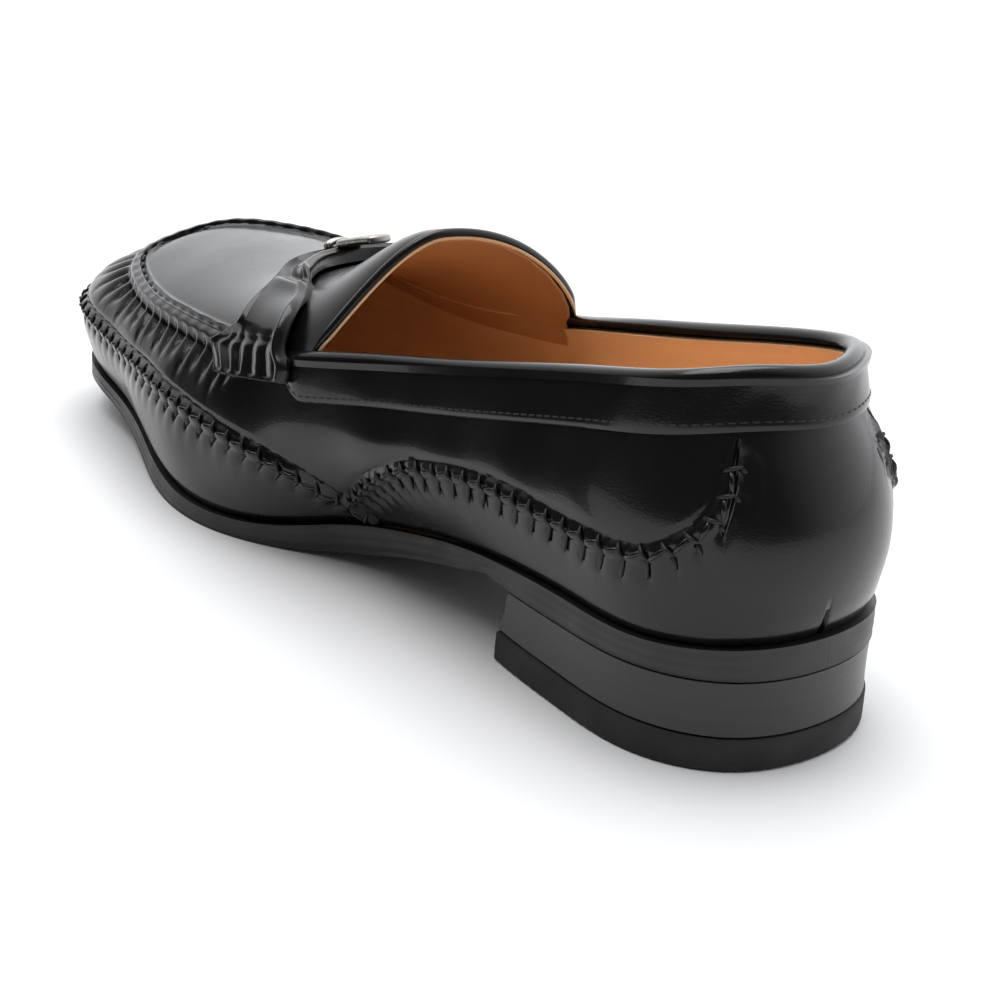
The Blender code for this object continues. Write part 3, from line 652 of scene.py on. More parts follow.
def gathers(station, height, seam):
    """Folds below the apron seam, -depth * (1 - |cos|^k): a large k gives thin crests and wide valleys.
    It shrinks downward, so the crests widen into the smooth wall, and every fold has its own strength."""
    down = (1 - height) / (1 - seam)
    phase = top_phase(station) + 0.5
    own = 0.5 + 0.5 * np.sin(np.floor(phase + 0.5) * 2.4)
    lean = (0.18 + 0.15 * own) * down * np.sign(TOE - station)
    crest = np.abs(np.cos(math.pi * (phase + lean)))
    thin = 1.5 - 0.9 * fade(down, 0.0, 0.6)
    where = fade(fold(station), THROAT + 1.5, THROAT + 2.0)
    depth = PLEAT_DEPTH * fade(down, 0.08, 0.18) * (1 - fade(down, 0.20, 0.66 + 0.22 * own))
    return -depth * (1 - crest**thin) * where


def seam_relief(points, station, height, seam):
    """Bead, pressed stitches and small puckers beside every seam of the wall."""
    out = np.zeros(station.shape)
    for side, kind, line, run, *_ in SEAMS:
        mine = (station <= TOE) if side < 0 else (station > TOE)
        folded = fold(station)
        if kind == "main":
            near = mine & (folded > 0.9) & (np.abs(height - seam) < 0.24)
        else:
            near = mine & (np.abs(folded - 6.58) < 0.25) & (height < 0.2)
        away, which = nearest(points[near], line)
        middle = seam[near] if kind == "main" else gentle(FOOT_SEAM, folded[near])
        signed = away * np.sign(height[near] - middle)
        beat = run[which] / STITCH
        sway = beat + 0.10 * signed / 0.003
        off = np.abs(sway - np.round(sway)) * STITCH
        ends = fade(run[which], 0.0, 0.004) * fade(run[-1] - run[which], 0.0, 0.002)
        rope = ROPE_HIGH * np.clip(1 - ((signed + 0.0001) / ROPE_HALF) ** 2, 0.0, 1.0) ** 0.7
        knots = 1 - 0.70 * bell(off, 0.0009)
        above = -0.0005 * bell(signed - 0.0026, 0.0006)
        long = TAIL_LONG - TAIL_CUT * fade(folded[near], 7.2, 8.6)
        tail = fade(-signed, 0.0008, 0.0016) * (1 - fade(-signed - long, 0.0, 0.0012))
        pressed = -TAIL_DEPTH * bell(off, TAIL_HALF) * tail
        puff = PUFF * (0.5 - 0.5 * np.cos(2 * math.pi * sway)) * fade(-signed, 0.0, 0.0025)
        puff = puff * (1 - fade(-signed, 0.005, 0.011))
        out[near] += (rope * knots + above + pressed + puff) * ends
    return out


def wall_relief(points, station, height, seam):
    """All heights of the wall together, with its foot tucked in over the sole."""
    up = np.linalg.norm(np.diff(points, axis=1, prepend=points[:, :1]), axis=2).cumsum(1)
    tuck = -0.0013 * np.clip(1 - up / 0.0035, 0.0, 1.0) ** 2
    slow = 0.00022 * np.sin(points[..., 1] * 210 + 3 * height) * np.sin(points[..., 2] * 160 + 1.3)
    lift = tuck + slow * fade(height, 0.05, 0.2) * (1 - fade(height, 0.8, 0.95))
    lift = lift + gathers(station, height, seam) + seam_relief(points, station, height, seam)
    across_slit = (station - SLIT - 0.5 * height) * 0.024
    slit = -SLIT_DEPTH * bell(across_slit, 0.00045) * (1 - fade(up, 0.0055, 0.0065))
    return lift + slit


# %% The wall
LOW_ROWS, HIGH_ROWS = 22, 38
TUCKED = 0.935
UPWARD = np.array([0.0, 0.0, 1.0])
FOOT_DROP = 0.0010
LEATHER = 0.0012


def wall_rows(station):
    """Rows crowd towards the seam and the top edge. Behind the throat the edge ends under the band."""
    folded = fold(station)[:, None]
    top = TUCKED + (1 - TUCKED) * fade(folded, THROAT + 0.2, THROAT + 1.2)
    seam = seam_height(station)[:, None]
    a = np.linspace(0.0, 1.0, LOW_ROWS)[None]
    b = np.linspace(0.0, 1.0, HIGH_ROWS)[None, 1:]
    low = seam * (1 - (1 - a) ** 1.5)
    crowd = 0.5 * (b**1.5 + 1 - (1 - b) ** 1.5)
    return np.concatenate([low, seam + (top - seam) * crowd], axis=1)


def make_wall():
    """Outer face with all its relief, its top edge lifted into the ridge, and a plain inner face."""
    rows = wall_rows(STATION)
    station = np.broadcast_to(STATION[:, None], rows.shape)
    skin = wall(STATION[:, None], rows)
    way = normals(skin, True)
    seam = np.broadcast_to(seam_height(STATION)[:, None], rows.shape)
    outer = skin + way * wall_relief(skin, station, rows, seam)[..., None]
    away = np.linalg.norm(skin - skin[:, -1:], axis=2)
    lift = ridge_lift(station, away)[..., None]
    aside = fade(away, 0.0, 0.0015)[..., None]
    outer = outer + lift * (0.5 * aside * way[:, -1:] + (1 - 0.15 * aside) * UPWARD)
    climb = np.linalg.norm(skin - skin[:, :1], axis=2)[..., None]
    outer = outer - FOOT_DROP * UPWARD * np.clip(1 - climb / 0.004, 0.0, 1.0) ** 2
    few = picked(rows.shape[1], 17)
    thin = LEATHER - 0.5 * LEATHER * fade(rows[:, few], 0.9, 1.0)[..., None]
    inner = outer[:, few] - way[:, few] * thin
    inner[:, 1:-1] = skin[:, few[1:-1]] - way[:, few[1:-1]] * 0.0016
    put_sheet("upper_wall", outer, inner, True, BLACK, "polished_leather", ("upper",))


make_wall()

# %% [markdown]
# ## The plug
# The plug, or apron, is the smooth panel over the toes that runs back under the strap to form the
# tongue. Its edge is sewn into the raised seam, so it has a stitched channel just inside the
# ridge and then lies smooth and glossy.

# %% The plug
ACROSS = 0.5 - 0.5 * np.cos(np.linspace(0.0, math.pi, 91))


def make_plug():
    """Dome of the front with ridge, channel and bead along both edges, and the lining under it."""
    station = np.concatenate([np.linspace(THROAT, 13.0, 220), np.linspace(13.0, 13.985, 40)[1:]])
    skin = apron(station[:, None], ACROSS[None])
    way = -normals(skin)
    way *= np.sign(way[..., 2:3])
    sides = [np.linalg.norm(skin - edge, axis=2) for edge in (skin[:, :1], skin[:, -1:])]
    place = np.where(sides[0] <= sides[1], station[:, None], STATIONS - station[:, None])
    away = np.minimum(*sides)
    slots = 0.65 + 0.35 * np.cos(2 * math.pi * top_phase(place))
    channel = -0.0013 * bell(away - 0.0020, 0.0006) * slots
    bead = 0.0008 * bell(away - 0.0036, 0.0007)
    lift = ridge_lift(place, away) + (channel + bead) * ridge_front(place)
    outer = skin + lift[..., None] * UPWARD
    few = picked(len(ACROSS), 13)
    inner = skin[:, few] - way[:, few] * LEATHER
    put_sheet("plug", outer, inner, False, BLACK, "polished_leather")
    inner_side = wall(station[:, None], np.array([[0.80, 0.88, 0.95]]))
    outer_side = wall(STATIONS - station[:, None], np.array([[0.95, 0.88, 0.80]]))
    skirt_in, skirt_out = normals(inner_side), normals(outer_side)
    layers, back = [], station < 12.5
    for depth, deep in ((0.0014, 0.0026), (0.0021, 0.0032)):
        skirts = inner_side - skirt_in * deep, outer_side - skirt_out * deep
        middle = skin[:, few] - way[:, few] * depth
        layers.append(np.concatenate([skirts[0], middle, skirts[1]], axis=1)[back])
    # The tongue's lining takes the darker copy of the tan calf, painted shade.
    put_sheet("tongue_lining", *layers, False, TAN_PAINTED_SHADE, "sock_leather")


make_plug()


# %% [markdown]
# ## Lining and raw edge
# Inside is plain tan calf, painted lighter on the quarters and the sock and darker under the
# tongue, as painted light and shade. A cream line of raw leather shows where the tongue's lining
# ends, and a black rolled binding covers the outer leather beside it.

# %% The lining
def tube(line, radius, sides, flat=1.0, up=(0.0, 0.0, 1.0)):
    """Rings of a tube along a line: centre + radius * (cos * beside + flat * sin * over)."""
    along = unit(np.gradient(line, axis=0))
    beside = unit(np.cross(along, np.asarray(up, float)))
    over = np.cross(beside, along)
    turn = np.linspace(0.0, 2 * math.pi, sides, endpoint=False)
    radius = np.broadcast_to(np.asarray(radius, float), (len(line),))[:, None, None]
    ring = np.cos(turn)[None, :, None] * beside[:, None] + flat * np.sin(turn)[None, :, None] * over[:, None]
    return line[:, None] + radius * ring


LINING_OUT, LINING_IN, FOOT_INSET = 0.0018, 0.0024, 0.0014
BINDING, RAW_EDGE = 0.00125, 0.00052


def make_lining():
    """Calf lining of the wall, inside the leather, with the step of its back seam."""
    station = STATION[::2]
    folded = fold(station)[:, None]
    top = 0.93 + 0.065 * fade(folded, THROAT + 0.2, THROAT + 1.2)
    rows = top * np.linspace(0.03, 1.0, 36)[None]
    skin = wall(station[:, None], rows)
    way = normals(skin, True)
    step = 0.0003 * fade(folded, 2.80, 2.84)
    seam = 0.0003 * bell(folded - 2.85, 0.015)
    slow = 0.0002 * np.sin(skin[..., 1] * 150) * np.sin(skin[..., 2] * 120)
    foot = FOOT_INSET * (1 - fade(rows, 0.03, 0.10))
    under_flap = 0.0006 * fade(rows, 0.80, 0.89) * (1 - fade(folded, THROAT - 0.2, THROAT + 0.4))
    inner = skin - way * (LINING_IN + step + foot + under_flap + seam + slow)[..., None]
    outer = skin - way * (LINING_OUT + foot)[..., None]
    # The quarter lining takes the lighter copy of the tan calf, painted light.
    put_sheet("quarter_lining", outer, inner, True, TAN_PAINTED_LIGHT, "sock_leather")


make_lining()


def make_tongue_edge():
    """The tongue's edge follows the first row of the plug."""
    across = np.linspace(0.0, 1.0, 160)
    line = apron(np.full(160, THROAT + 0.02), across)
    taper = 0.35 + 0.65 * fade(across, 0.0, 0.05) * fade(1 - across, 0.0, 0.05)
    back = np.array([0.0, -1.0, 0.0])
    bind = line + np.array([0.0, -0.0004, -0.0002])
    rings = tube(bind, BINDING * taper, 14, 1.0, back)
    put_rings("tongue_binding", rings, BLACK)
    raw = line + np.array([0.0, -0.0011, -0.0013])
    rings = tube(raw, RAW_EDGE * taper, 8, 1.0, back)
    put_rings("tongue_raw_edge", rings, CREAM)


make_tongue_edge()


# %% [markdown]
# ## The padded collar
# The collar is a strip of soft leather over foam. It starts at a sewn line a finger's width below
# the edge, swells outward, rolls over the top and goes down inside. One profile is carried round
# the opening; its hidden side straddles the wall.

# %% The collar
BAND_ENDS = THROAT + 0.72
BAND_ROLL = 0.0023
BAND_PUFF = 0.0017
BAND_INSIDE = 0.0030


def band_low(station):
    """Lower edge of the band: level with the shoulder, turning up at its front ends."""
    turn = fade(np.abs(station), BAND_ENDS - 0.75, BAND_ENDS)
    return 2 / 3 + 0.20 * turn**1.4


def make_collar():
    """Rings round the band: up its padded face, over the roll, down inside and back under."""
    count = 420
    station = np.linspace(-BAND_ENDS, BAND_ENDS, count)
    thin = 1 - 0.55 * fade(np.abs(station), BAND_ENDS - 0.6, BAND_ENDS)
    four = levels(station)
    tall = np.linalg.norm(four[:, 3] - four[:, 2], axis=1) * 3
    roll = (BAND_ROLL * thin)[:, None]
    high = 1 - roll / tall[:, None]
    low = band_low(station)[:, None]
    climb = np.linspace(0.0, 1.0, 24)[None]
    face = wall(station[:, None], low + (high - low) * climb)
    way = normals(face)
    puff = np.sin(np.clip(climb * 1.06, 0, 1) * math.pi * 0.5) ** 0.45 * 0.95 + 0.05
    crease = 0.00003 * np.sin(station[:, None] * 9.0 + 4 * climb) * np.sin(climb * math.pi)
    rear = 1 - 0.45 * bell(station[:, None], 1.3)
    soft = FIT + BAND_PUFF * thin[:, None] * rear * puff + crease
    outer = face + way * soft[..., None]
    crown = wall(station, high[:, 0])
    up = unit(crown - wall(station, high[:, 0] - 0.02))
    side = way[:, -1]
    start, end = outer[:, -1], crown - side * BAND_INSIDE * thin[:, None]
    middle, half = 0.5 * (start + end), 0.5 * np.linalg.norm(start - end, axis=1)[:, None]
    turn = np.linspace(0.0, math.pi, 13)[1:-1]
    over = middle[:, None] + half[:, None] * (
        np.cos(turn)[None, :, None] * side[:, None] + np.sin(turn)[None, :, None] * up[:, None]
    )
    inside = wall(station[:, None], high - (high - 0.90) * np.linspace(0.0, 1.0, 5)[None])
    depth = np.linspace(BAND_INSIDE, 0.0026, 5)[None, :, None]
    inner = inside - normals(inside) * depth * thin[:, None, None]
    back = wall(station[:, None], np.array([[0.905, 0.94]]))
    hidden = back - normals(back) * 0.0022
    rows = np.concatenate([np.full((count, 1), 0.94), 0.5 * (low + 0.9), low], 1)
    front = wall(station[:, None], rows)
    hidden_front = front + normals(front) * 0.00012
    rings = np.concatenate([outer, over, inner, hidden, hidden_front], axis=1)
    collar = put_rings("collar", rings, BAND_LOOK, ("collar_band",))
    return outer


BAND_SKIN = make_collar()

# %% [markdown]
# ## The strap
# The strap is a wide band of the same leather, sewn down at both sides and drawn together under
# the bit. Its rear edge is folded into a bright roll, its front half stands up as a hollow fold,
# and the tabs at the sides are ruched into a few upright ridges.

# %% The strap
def vamp(reach, y):
    """Point over the front. Reach is -1 and 1 at the plug's edges and goes down the wall beyond them."""
    fine = np.linspace(THROAT, TOE - 2, 200)
    station = np.maximum(np.interp(y, levels(fine)[:, 3, 1], fine), THROAT)
    over = apron(station, np.clip((reach + 1) / 2, 0.0, 1.0))
    place = np.where(reach < 0, station, STATIONS - station)
    down = wall(place, np.clip(1 - (np.abs(reach) - 1), 0.0, 1.0))
    return np.where((np.abs(reach) <= 1)[..., None], over, down)


def strap_halves(reach):
    """Half width towards the rear and towards the front: narrow at the gather, notched above each tab."""
    size = np.abs(reach)
    rear = GATHER_HALF + (TAB_HALF - GATHER_HALF) * fade(size, 0.1, 1.1)
    rear = rear * (1 + 0.10 * fade(size, 0.60, 0.95))
    notch = 0.85 * (1 - fade(size, 0.95, 1.00)) * fade(size, 0.30, 0.66)
    front = rear * (1 - notch) * (1 - TAB_CUT * fade(size, 1.02, 1 + TAB_REACH))
    return rear, front


def strap_base(reach, across):
    """Middle surface of the strap. It bows forward over the foot."""
    rear, front = strap_halves(reach)
    middle = STRAP_MIDDLE + STRAP_BOW * (1 - np.minimum(np.abs(reach), 1.10) ** 2)
    return vamp(reach, middle + np.where(across > 0, front, rear) * across)


def strap_relief(reach, across):
    """Rolls, hollow and ruches of the strap, by distance from its rear and front edges."""
    size = np.abs(reach)
    rear, front = strap_halves(reach)
    from_rear = (across + 1) * rear
    from_front = (1 - across) * front
    arch = 1 - fade(size, 0.93, 1.02)
    rear_roll = 0.0013 * bell(from_rear - 0.0018, 0.0011)
    front_roll = 0.0015 * bell(from_front - 0.0016, 0.0010) * arch
    here = bell(size - 0.66, 0.16)
    hollow = -0.0028 * bell(from_front - 0.0046, 0.0016) * here * arch
    lip = 0.0009 * bell(from_front - 0.0082, 0.0009) * here * arch
    between = fade(from_rear, 0.002, 0.004) * fade(from_front, 0.002, 0.004)
    fan = 0.0008 * np.cos(across * 10.0 + 0.6 * np.sign(reach)) * (1 - fade(size, 0.15, 0.5)) * between
    bend = across - 0.10 * np.sin((size - 1.0) / TAB_REACH * math.pi)
    crest = np.abs(np.cos(math.pi * (bend * 2.9 + 0.35)))
    tab = fade(size, 0.95, 1.03) * (1 - fade(size, 1 + 0.80 * TAB_REACH, 1 + 0.98 * TAB_REACH))
    ruche = -0.0006 * (1 - crest**1.3) * tab * fade(from_rear, 0.003, 0.005) * fade(from_front, 0.001, 0.002)
    sewn = -0.0007 * bell(size - 0.985, 0.016) * fade(from_rear, 0.003, 0.005)
    return rear_roll + front_roll + hollow + lip + fan + ruche + sewn


def make_strap():
    """Band of leather from tab to tab. Its middle rests on the vamp and its edges stand clear."""
    ends = 1 + TAB_REACH
    reach, across = np.linspace(-ends, ends, 260), np.linspace(-1.0, 1.0, 96)
    grid = strap_base(reach[:, None], across[None])
    for _ in range(14):
        grid[1:-1] = 0.25 * grid[:-2] + 0.5 * grid[1:-1] + 0.25 * grid[2:]
    way = -normals(grid)
    way *= np.sign(way[..., 2:3].mean(1, keepdims=True)) if way[len(way) // 2, 48, 2] < 0 else 1
    size = np.abs(reach)[:, None]
    clear = 0.0007 + 0.0015 * fade(size, 0.7, 0.95) + 0.0004 * (1 - fade(size, 0.9, 1.2))
    lift = strap_relief(reach[:, None], across[None])
    edge = 1 - np.clip((np.abs(across[None]) - 0.94) / 0.06, 0, 1) ** 2 * 0.7
    end = 1 - np.clip((size - (ends - 0.012)) / 0.012, 0, 1) ** 2 * 0.6
    thick = STRAP_THICK + GATHER_PUFF * (1 - fade(size, 0.2, 0.75))
    high = grid + way * (clear + thick * edge * end + lift)[..., None]
    few = picked(len(across), 17)
    sunk = (clear + 0.0012) * (1 - across[None, few] ** 2) ** 2
    low = grid[:, few] + way[:, few] * (clear - sunk)[..., None]
    put_sheet("strap_leather", high, low, False, STRAP_LOOK, "strap_leather", ("strap",))


make_strap()

# %% [markdown]
# ## The bit
# The metal is a flat rounded bar that lies along the middle of the foot. At its front a short
# coil of thick wire holds the gathered leather. Both sit where the plain solids are, and the bar's
# ends are rounded by rings that shrink as a circle does.

# %% The bit
BAR_WIDE, BAR_TALL = 0.00375, 0.0012
COIL_WIDE, COIL_TALL, COIL_LONG, WIRE = 0.0036, 0.00125, 0.0040, 0.00072


def bit_frame():
    """Middle, direction along the bar and direction up, from the box of the plain solid."""
    low, high = (np.array(c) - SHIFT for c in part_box("bit_plate"))
    ring_low, ring_high = (np.array(c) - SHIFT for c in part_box("bit_ring"))
    middle = 0.5 * (low + high)
    ring = 0.5 * (ring_low + ring_high)
    along = ring - middle
    along[0] = 0.0
    along /= np.linalg.norm(along)
    up = np.array([0.0, -along[2], along[1]])
    return middle, along, up if up[2] > 0 else -up, ring


BIT_MIDDLE, BIT_ALONG, BIT_UP, RING_MIDDLE = bit_frame()
print("bit leans", round(math.degrees(math.atan2(BIT_ALONG[2], BIT_ALONG[1])), 1), "degrees")


def rounded(half_width, half_height, sides, power=0.55):
    """Rounded rectangle: each of cos and sin raised to a power below 1."""
    turn = np.linspace(0.0, 2 * math.pi, sides, endpoint=False)
    c, s = np.cos(turn), np.sin(turn)
    return half_width * np.sign(c) * np.abs(c) ** power, half_height * np.sign(s) * np.abs(s) ** power


def make_bar():
    """Rings along the bar: full over most of it, a circle's fall at the rear, a neck at the front."""
    rear_end = -1 + 0.16 * (1 - np.cos(np.linspace(0, math.pi / 2, 12)))
    place = np.concatenate([rear_end, np.linspace(-0.8, 0.78, 20), np.linspace(0.80, 1.0, 9)])
    end = np.sqrt(np.clip(1 - np.clip((-place - 0.84) / 0.16, 0, 1) ** 2, 0.0004, 1))
    neck = 1 - 0.42 * fade(place, 0.78, 0.92)
    x, z = rounded(BAR_WIDE, BAR_TALL, 40)
    centre = BIT_MIDDLE + place[:, None] * 0.5 * PLATE_LENGTH * BIT_ALONG
    centre = centre + BIT_UP * (0.0003 * (1 - place[:, None] ** 2))
    width, height = (end * neck)[:, None], (0.35 + 0.65 * end)[:, None] * (0.85 + 0.15 * neck[:, None])
    rings = centre[:, None] + (width * x[None])[..., None] * np.array([1.0, 0, 0])
    rings = rings + (height * z[None])[..., None] * BIT_UP
    put_rings("bit_bar", rings, METAL, ("bit_plate",))


def make_coil():
    """Three turns of wire side by side: a circle of wire carried round an oval, turn by turn."""
    turns, steps = 3.0, 180
    angle = np.linspace(-0.5 * math.pi, 2 * math.pi * turns - 0.5 * math.pi, steps)
    share = np.linspace(-0.5, 0.5, steps)
    swell = 1 - 0.25 * (2 * share) ** 2
    line = RING_MIDDLE + BIT_ALONG * (share * COIL_LONG)[:, None]
    line = line + (COIL_WIDE * swell * np.cos(angle))[:, None] * np.array([1.0, 0, 0])
    line = line + (COIL_TALL * swell * np.sin(angle))[:, None] * BIT_UP
    rings = tube(line, WIRE, 10, 1.0, BIT_ALONG)
    put_rings("bit_coil", rings, METAL, ("bit_ring",))


make_bar()
make_coil()


# %% [markdown]
# ## Thread
# Every stitch is one short thick thread that comes out of a hole, bows over the leather and goes
# back in. A bowed tube with few faces, tapered at both ends, is enough, because hundreds of them
# stand side by side. The tails, the loops and the runs of one seam are one piece each.

# %% Stitches
def threads(name, starts, ends, ways, radius, bow, look=THREAD, steps=7, sides=6, taper=0.35):
    """Tubes from starts to ends. The middle line is start + t * (end - start) + bow * sin(pi t)
    along the way out, and the radius falls to the ends."""
    t = np.linspace(0.0, 1.0, steps)
    starts, ends, ways = (np.asarray(a, float) for a in (starts, ends, ways))
    line = starts[:, None] + (ends - starts)[:, None] * t[None, :, None]
    line = line + ways[:, None] * (bow * np.sin(math.pi * t) - 0.4 * radius)[None, :, None]
    along = unit(ends - starts)
    beside = unit(np.cross(along, ways))
    over = np.cross(beside, along)
    turn = np.linspace(0.0, 2 * math.pi, sides, endpoint=False)
    ring = np.cos(turn)[:, None] * beside[:, None, None] + np.sin(turn)[:, None] * over[:, None, None]
    thick = radius * np.maximum(np.sin(math.pi * np.clip(t * 0.86 + 0.07, 0, 1)), 0.0) ** taper
    points = line[:, :, None] + thick[None, :, None, None] * ring
    one = sweep(steps, sides, False)
    size = steps * sides
    shift = np.arange(len(starts))[:, None, None] * size
    faces = [(f[None] + shift).reshape(-1, f.shape[1]) for f in one]
    put(name, points, faces, look, sharp=80)


def skin_at(station, height):
    """Point and normal of the plain wall at given places."""
    eps = 0.01
    a, b = wall(station + eps, height), wall(station - eps, height)
    c, d = wall(station, height + eps), wall(station, height - eps)
    way = np.cross(c - d, a - b)
    return wall(station, height), unit(way)


TAIL_RADIUS, LOOP_RADIUS, RUN_RADIUS = 0.00062, 0.00056, 0.00068


def whip_stitches():
    """At each stitch a long tail below the seam, a short loop over its bead and a run along it."""
    for side, kind, _, run, place, height in SEAMS:
        if kind == "foot":
            first, last = 0.3, run[-1] / STITCH - 0.6
        else:
            first, last = 0.4, run[-1] / STITCH - (0.2 if side < 0 else 0.7)
        beat = np.arange(math.ceil(first), math.floor(last) + 1) * STITCH
        point, way = skin_at(np.interp(beat, run, place), np.interp(beat, run, height))
        ahead, behind = (
            wall(np.interp(beat + step, run, place), np.interp(beat + step, run, height))
            for step in (0.0004, -0.0004)
        )
        along = unit(ahead - behind)
        down = np.cross(along, way) * (1 if side < 0 else -1)
        down *= np.sign(-down[:, 2:3] + 1e-9)
        label = ("inner" if side < 0 else "outer") + "_" + kind
        level = (0.45 + 0.55 * np.hypot(along[:, 0], along[:, 1]) ** 4)[:, None]
        folded = np.interp(beat, run, fold(place))
        level = level * (1 - 0.38 * fade(folded, 7.2, 8.6))[:, None]
        start = point + down * 0.0012
        end = point + (down * 0.0066 + along * 0.0014) * level - way * 0.0003
        threads("tails_" + label, start, end, way, TAIL_RADIUS, 0.0001, taper=0.6)
        start = point + down * 0.0019 - along * 0.0006
        end = point - down * 0.0021 + along * 0.0013
        threads("loops_" + label, start, end, way, LOOP_RADIUS, 0.0013)
        start = point + along * 0.0007 - down * 0.0006 + way * 0.0006
        end = point + along * (STITCH - 0.0006) + down * 0.0005 + way * 0.0006
        threads("runs_" + label, start, end, way, RUN_RADIUS, 0.0008, look=BLACK)


whip_stitches()


def apron_stitches():
    """Short stitches in the channel of the plug between its slots."""
    channel = []
    for side in (-1, 1):
        station = np.linspace(THROAT + 1.75, TOE - 0.25, 600)
        place = station if side < 0 else STATIONS - station
        phase = top_phase(place)
        order = np.argsort(phase)
        whole = np.arange(math.ceil(phase.min()), math.floor(phase.max())) + 0.5
        at = np.interp(whole, phase[order], place[order])
        edge = levels(at)[:, 3]
        along = unit(levels(at + 0.02)[:, 3] - levels(at - 0.02)[:, 3])
        across = apron(fold(at), np.where(at <= TOE, 0.06, 0.94)) - edge
        inward = unit(across - along * (across * along).sum(1, keepdims=True))
        up = np.cross(along, inward)
        up *= np.sign(up[:, 2:3])
        lying = edge + inward * 0.0018 + up * 0.0004
        channel.append((lying - along * 0.0017, lying + along * 0.0017, up))
    joined = [np.concatenate(rows) for rows in zip(*channel)]
    threads("channel_stitches", *joined, 0.00050, 0.0003)


apron_stitches()


def fine_row(name, line, way, pitch, long, radius, bow):
    """Row of fine machine stitches along a line of points with its normals."""
    run = run_length(line)
    beat = np.arange(pitch, run[-1] - pitch, pitch)
    starts, ends = row_at(line, run, beat - long / 2), row_at(line, run, beat + long / 2)
    threads(name, starts, ends, unit(row_at(way, run, beat)), radius, bow, steps=5, sides=5)


band_way = normals(BAND_SKIN)[6:-6, 3]
row_line = BAND_SKIN[6:-6, 3] + band_way * 0.00005
fine_row("collar_stitches", row_line, band_way, pitch=0.0026, long=0.0019, radius=0.00022, bow=0.0001)


# %% [markdown]
# ## The sole
# The sole is one moulded sheet: a thin edge round the front, a smooth arch, and a leaf of tread
# under the ball with a spine of overlapping pads and curved ribs, every second one fine-ribbed.
# The pattern is a height read at each point of the underside.

# %% The sole
LEAF = (
    (0.470, 0.00), (0.530, 0.19), (0.600, 0.31), (0.680, 0.35), (0.760, 0.33), (0.840, 0.27),
    (0.910, 0.155), (0.955, 0.0),
)
LEAF_MIDDLE = 0.002
PADS = 17
RIB_PITCH = 0.0145
FINE_TURN = 2 * math.pi / 0.0022


def tread(points):
    """Depth cut into the underside: leaf edge, spine pads, curved ribs and fine lines, in metres."""
    x, y = points[..., 0], points[..., 1] / LENGTH
    half = gentle(LEAF, np.clip(y, LEAF[0][0], LEAF[-1][0])) * BALL_WIDTH
    spine = np.abs(x - LEAF_MIDDLE)
    inside = fade(half - spine, -0.0002, 0.0004) * fade(y, 0.475, 0.482) * (1 - fade(y, 0.945, 0.952))
    edge = bell(np.abs(spine - half), 0.0009) * fade(y, 0.47, 0.48) * (1 - fade(y, 0.945, 0.955))
    pads = 0.0052 + 0.0012 * np.cos(2 * math.pi * y * PADS)
    spine_edge = bell(spine - pads, 0.0007) * inside
    from_joint = (y * PADS - np.round(y * PADS)) * LENGTH / PADS
    joint = bell(from_joint - 0.010 * (spine / 0.006) ** 2, 0.0006) * (spine < pads)
    beat = (y * LENGTH - 0.014 * (spine / 0.03) ** 0.7) / RIB_PITCH
    rib = bell((beat - np.round(beat)) * RIB_PITCH, 0.0009) * inside * (spine > pads)
    rough = (np.mod(np.round(beat + 0.5), 2) < 1) & (spine > pads + 0.0008)
    fine = (0.5 + 0.5 * np.cos((y * LENGTH + x * np.sign(x) * 0.6) * FINE_TURN)) * inside * rough
    toe_patch = fade(y, 0.962, 0.966) * (1 - fade(y, 0.985, 0.988)) * (np.abs(x) < 0.022)
    toe_lines = (0.5 + 0.5 * np.cos((y * LENGTH + x) * FINE_TURN)) * toe_patch
    cut = np.maximum.reduce([edge, spine_edge, joint * inside, rib])
    return 0.0009 * cut + 0.00045 * fine + 0.0004 * toe_lines


def make_sole():
    """Rings from heel to toe: each goes over the top, down an edge, across the underside and up."""
    station = np.interp(np.linspace(0, 1, 380), [0, 0.33, 0.93, 1], [0.001, 6.0, 12.6, 13.999])
    inner, outer = outlines(station, SOLE_EDGE)
    across = 0.5 - 0.5 * np.cos(np.linspace(0, math.pi, 150))
    flat = between(inner, outer, across)
    low = flat.copy()
    low[..., 2] = underside(flat[..., 1])
    low[..., 2] += tread(low)
    few = picked(len(across), 9)
    top = flat[:, few].copy()
    top[..., 2] -= FIT
    rise = np.linspace(0.0, 1.0, 11)[1:-1]
    shape = 0.00025 * np.array([1.0, 0.6, 0.2, 0.0, 0.9, 0.0, 0.1, 0.5, 1.0])
    sides = []
    for edge in (0, -1):
        bottom, upper = low[:, edge], top[:, edge]
        inward = flat[:, -1 - edge] - flat[:, edge]
        inward[:, 2] = 0
        inward /= np.maximum(np.linalg.norm(inward, axis=1, keepdims=True), 1e-9)
        sides.append(between(upper, bottom, rise) + inward[:, None] * shape[None, :, None])
    rings = np.concatenate([top[:, ::-1], sides[0], low, sides[1][:, ::-1]], axis=1)
    put_rings("sole", rings, SOLE, ("outsole",))


make_sole()


# %% [markdown]
# ## Heel and lift
# The heel is a stack of thin layers cut to one outline, hollowed at the breast, with a rubber lift
# nailed on below. One outline of the seat is drawn at several heights and joined.

# %% Heel and lift
def heel_outline(out, lean, count=260):
    """Seat outline up to the breast, closed by a hollow curve, with evenly spaced points."""
    line = feather(np.linspace(-4.6, 4.6, 400) % STATIONS, out)[:, :2]
    line = line[line[:, 1] < BREAST + lean]
    start, end = line[0].copy(), line[-1].copy()
    start[1] = end[1] = BREAST + lean
    s = np.linspace(0.0, 1.0, 60)[1:-1, None]
    hollow = end * (1 - s) + start * s - np.array([[0.0, BREAST_HOLLOW]]) * 4 * s * (1 - s)
    ring = np.concatenate([start[None], line[1:-1], end[None], hollow, start[None]])
    run = run_length(ring)
    at = np.linspace(0.0, run[-1], count, endpoint=False)
    return row_at(ring, run, at)


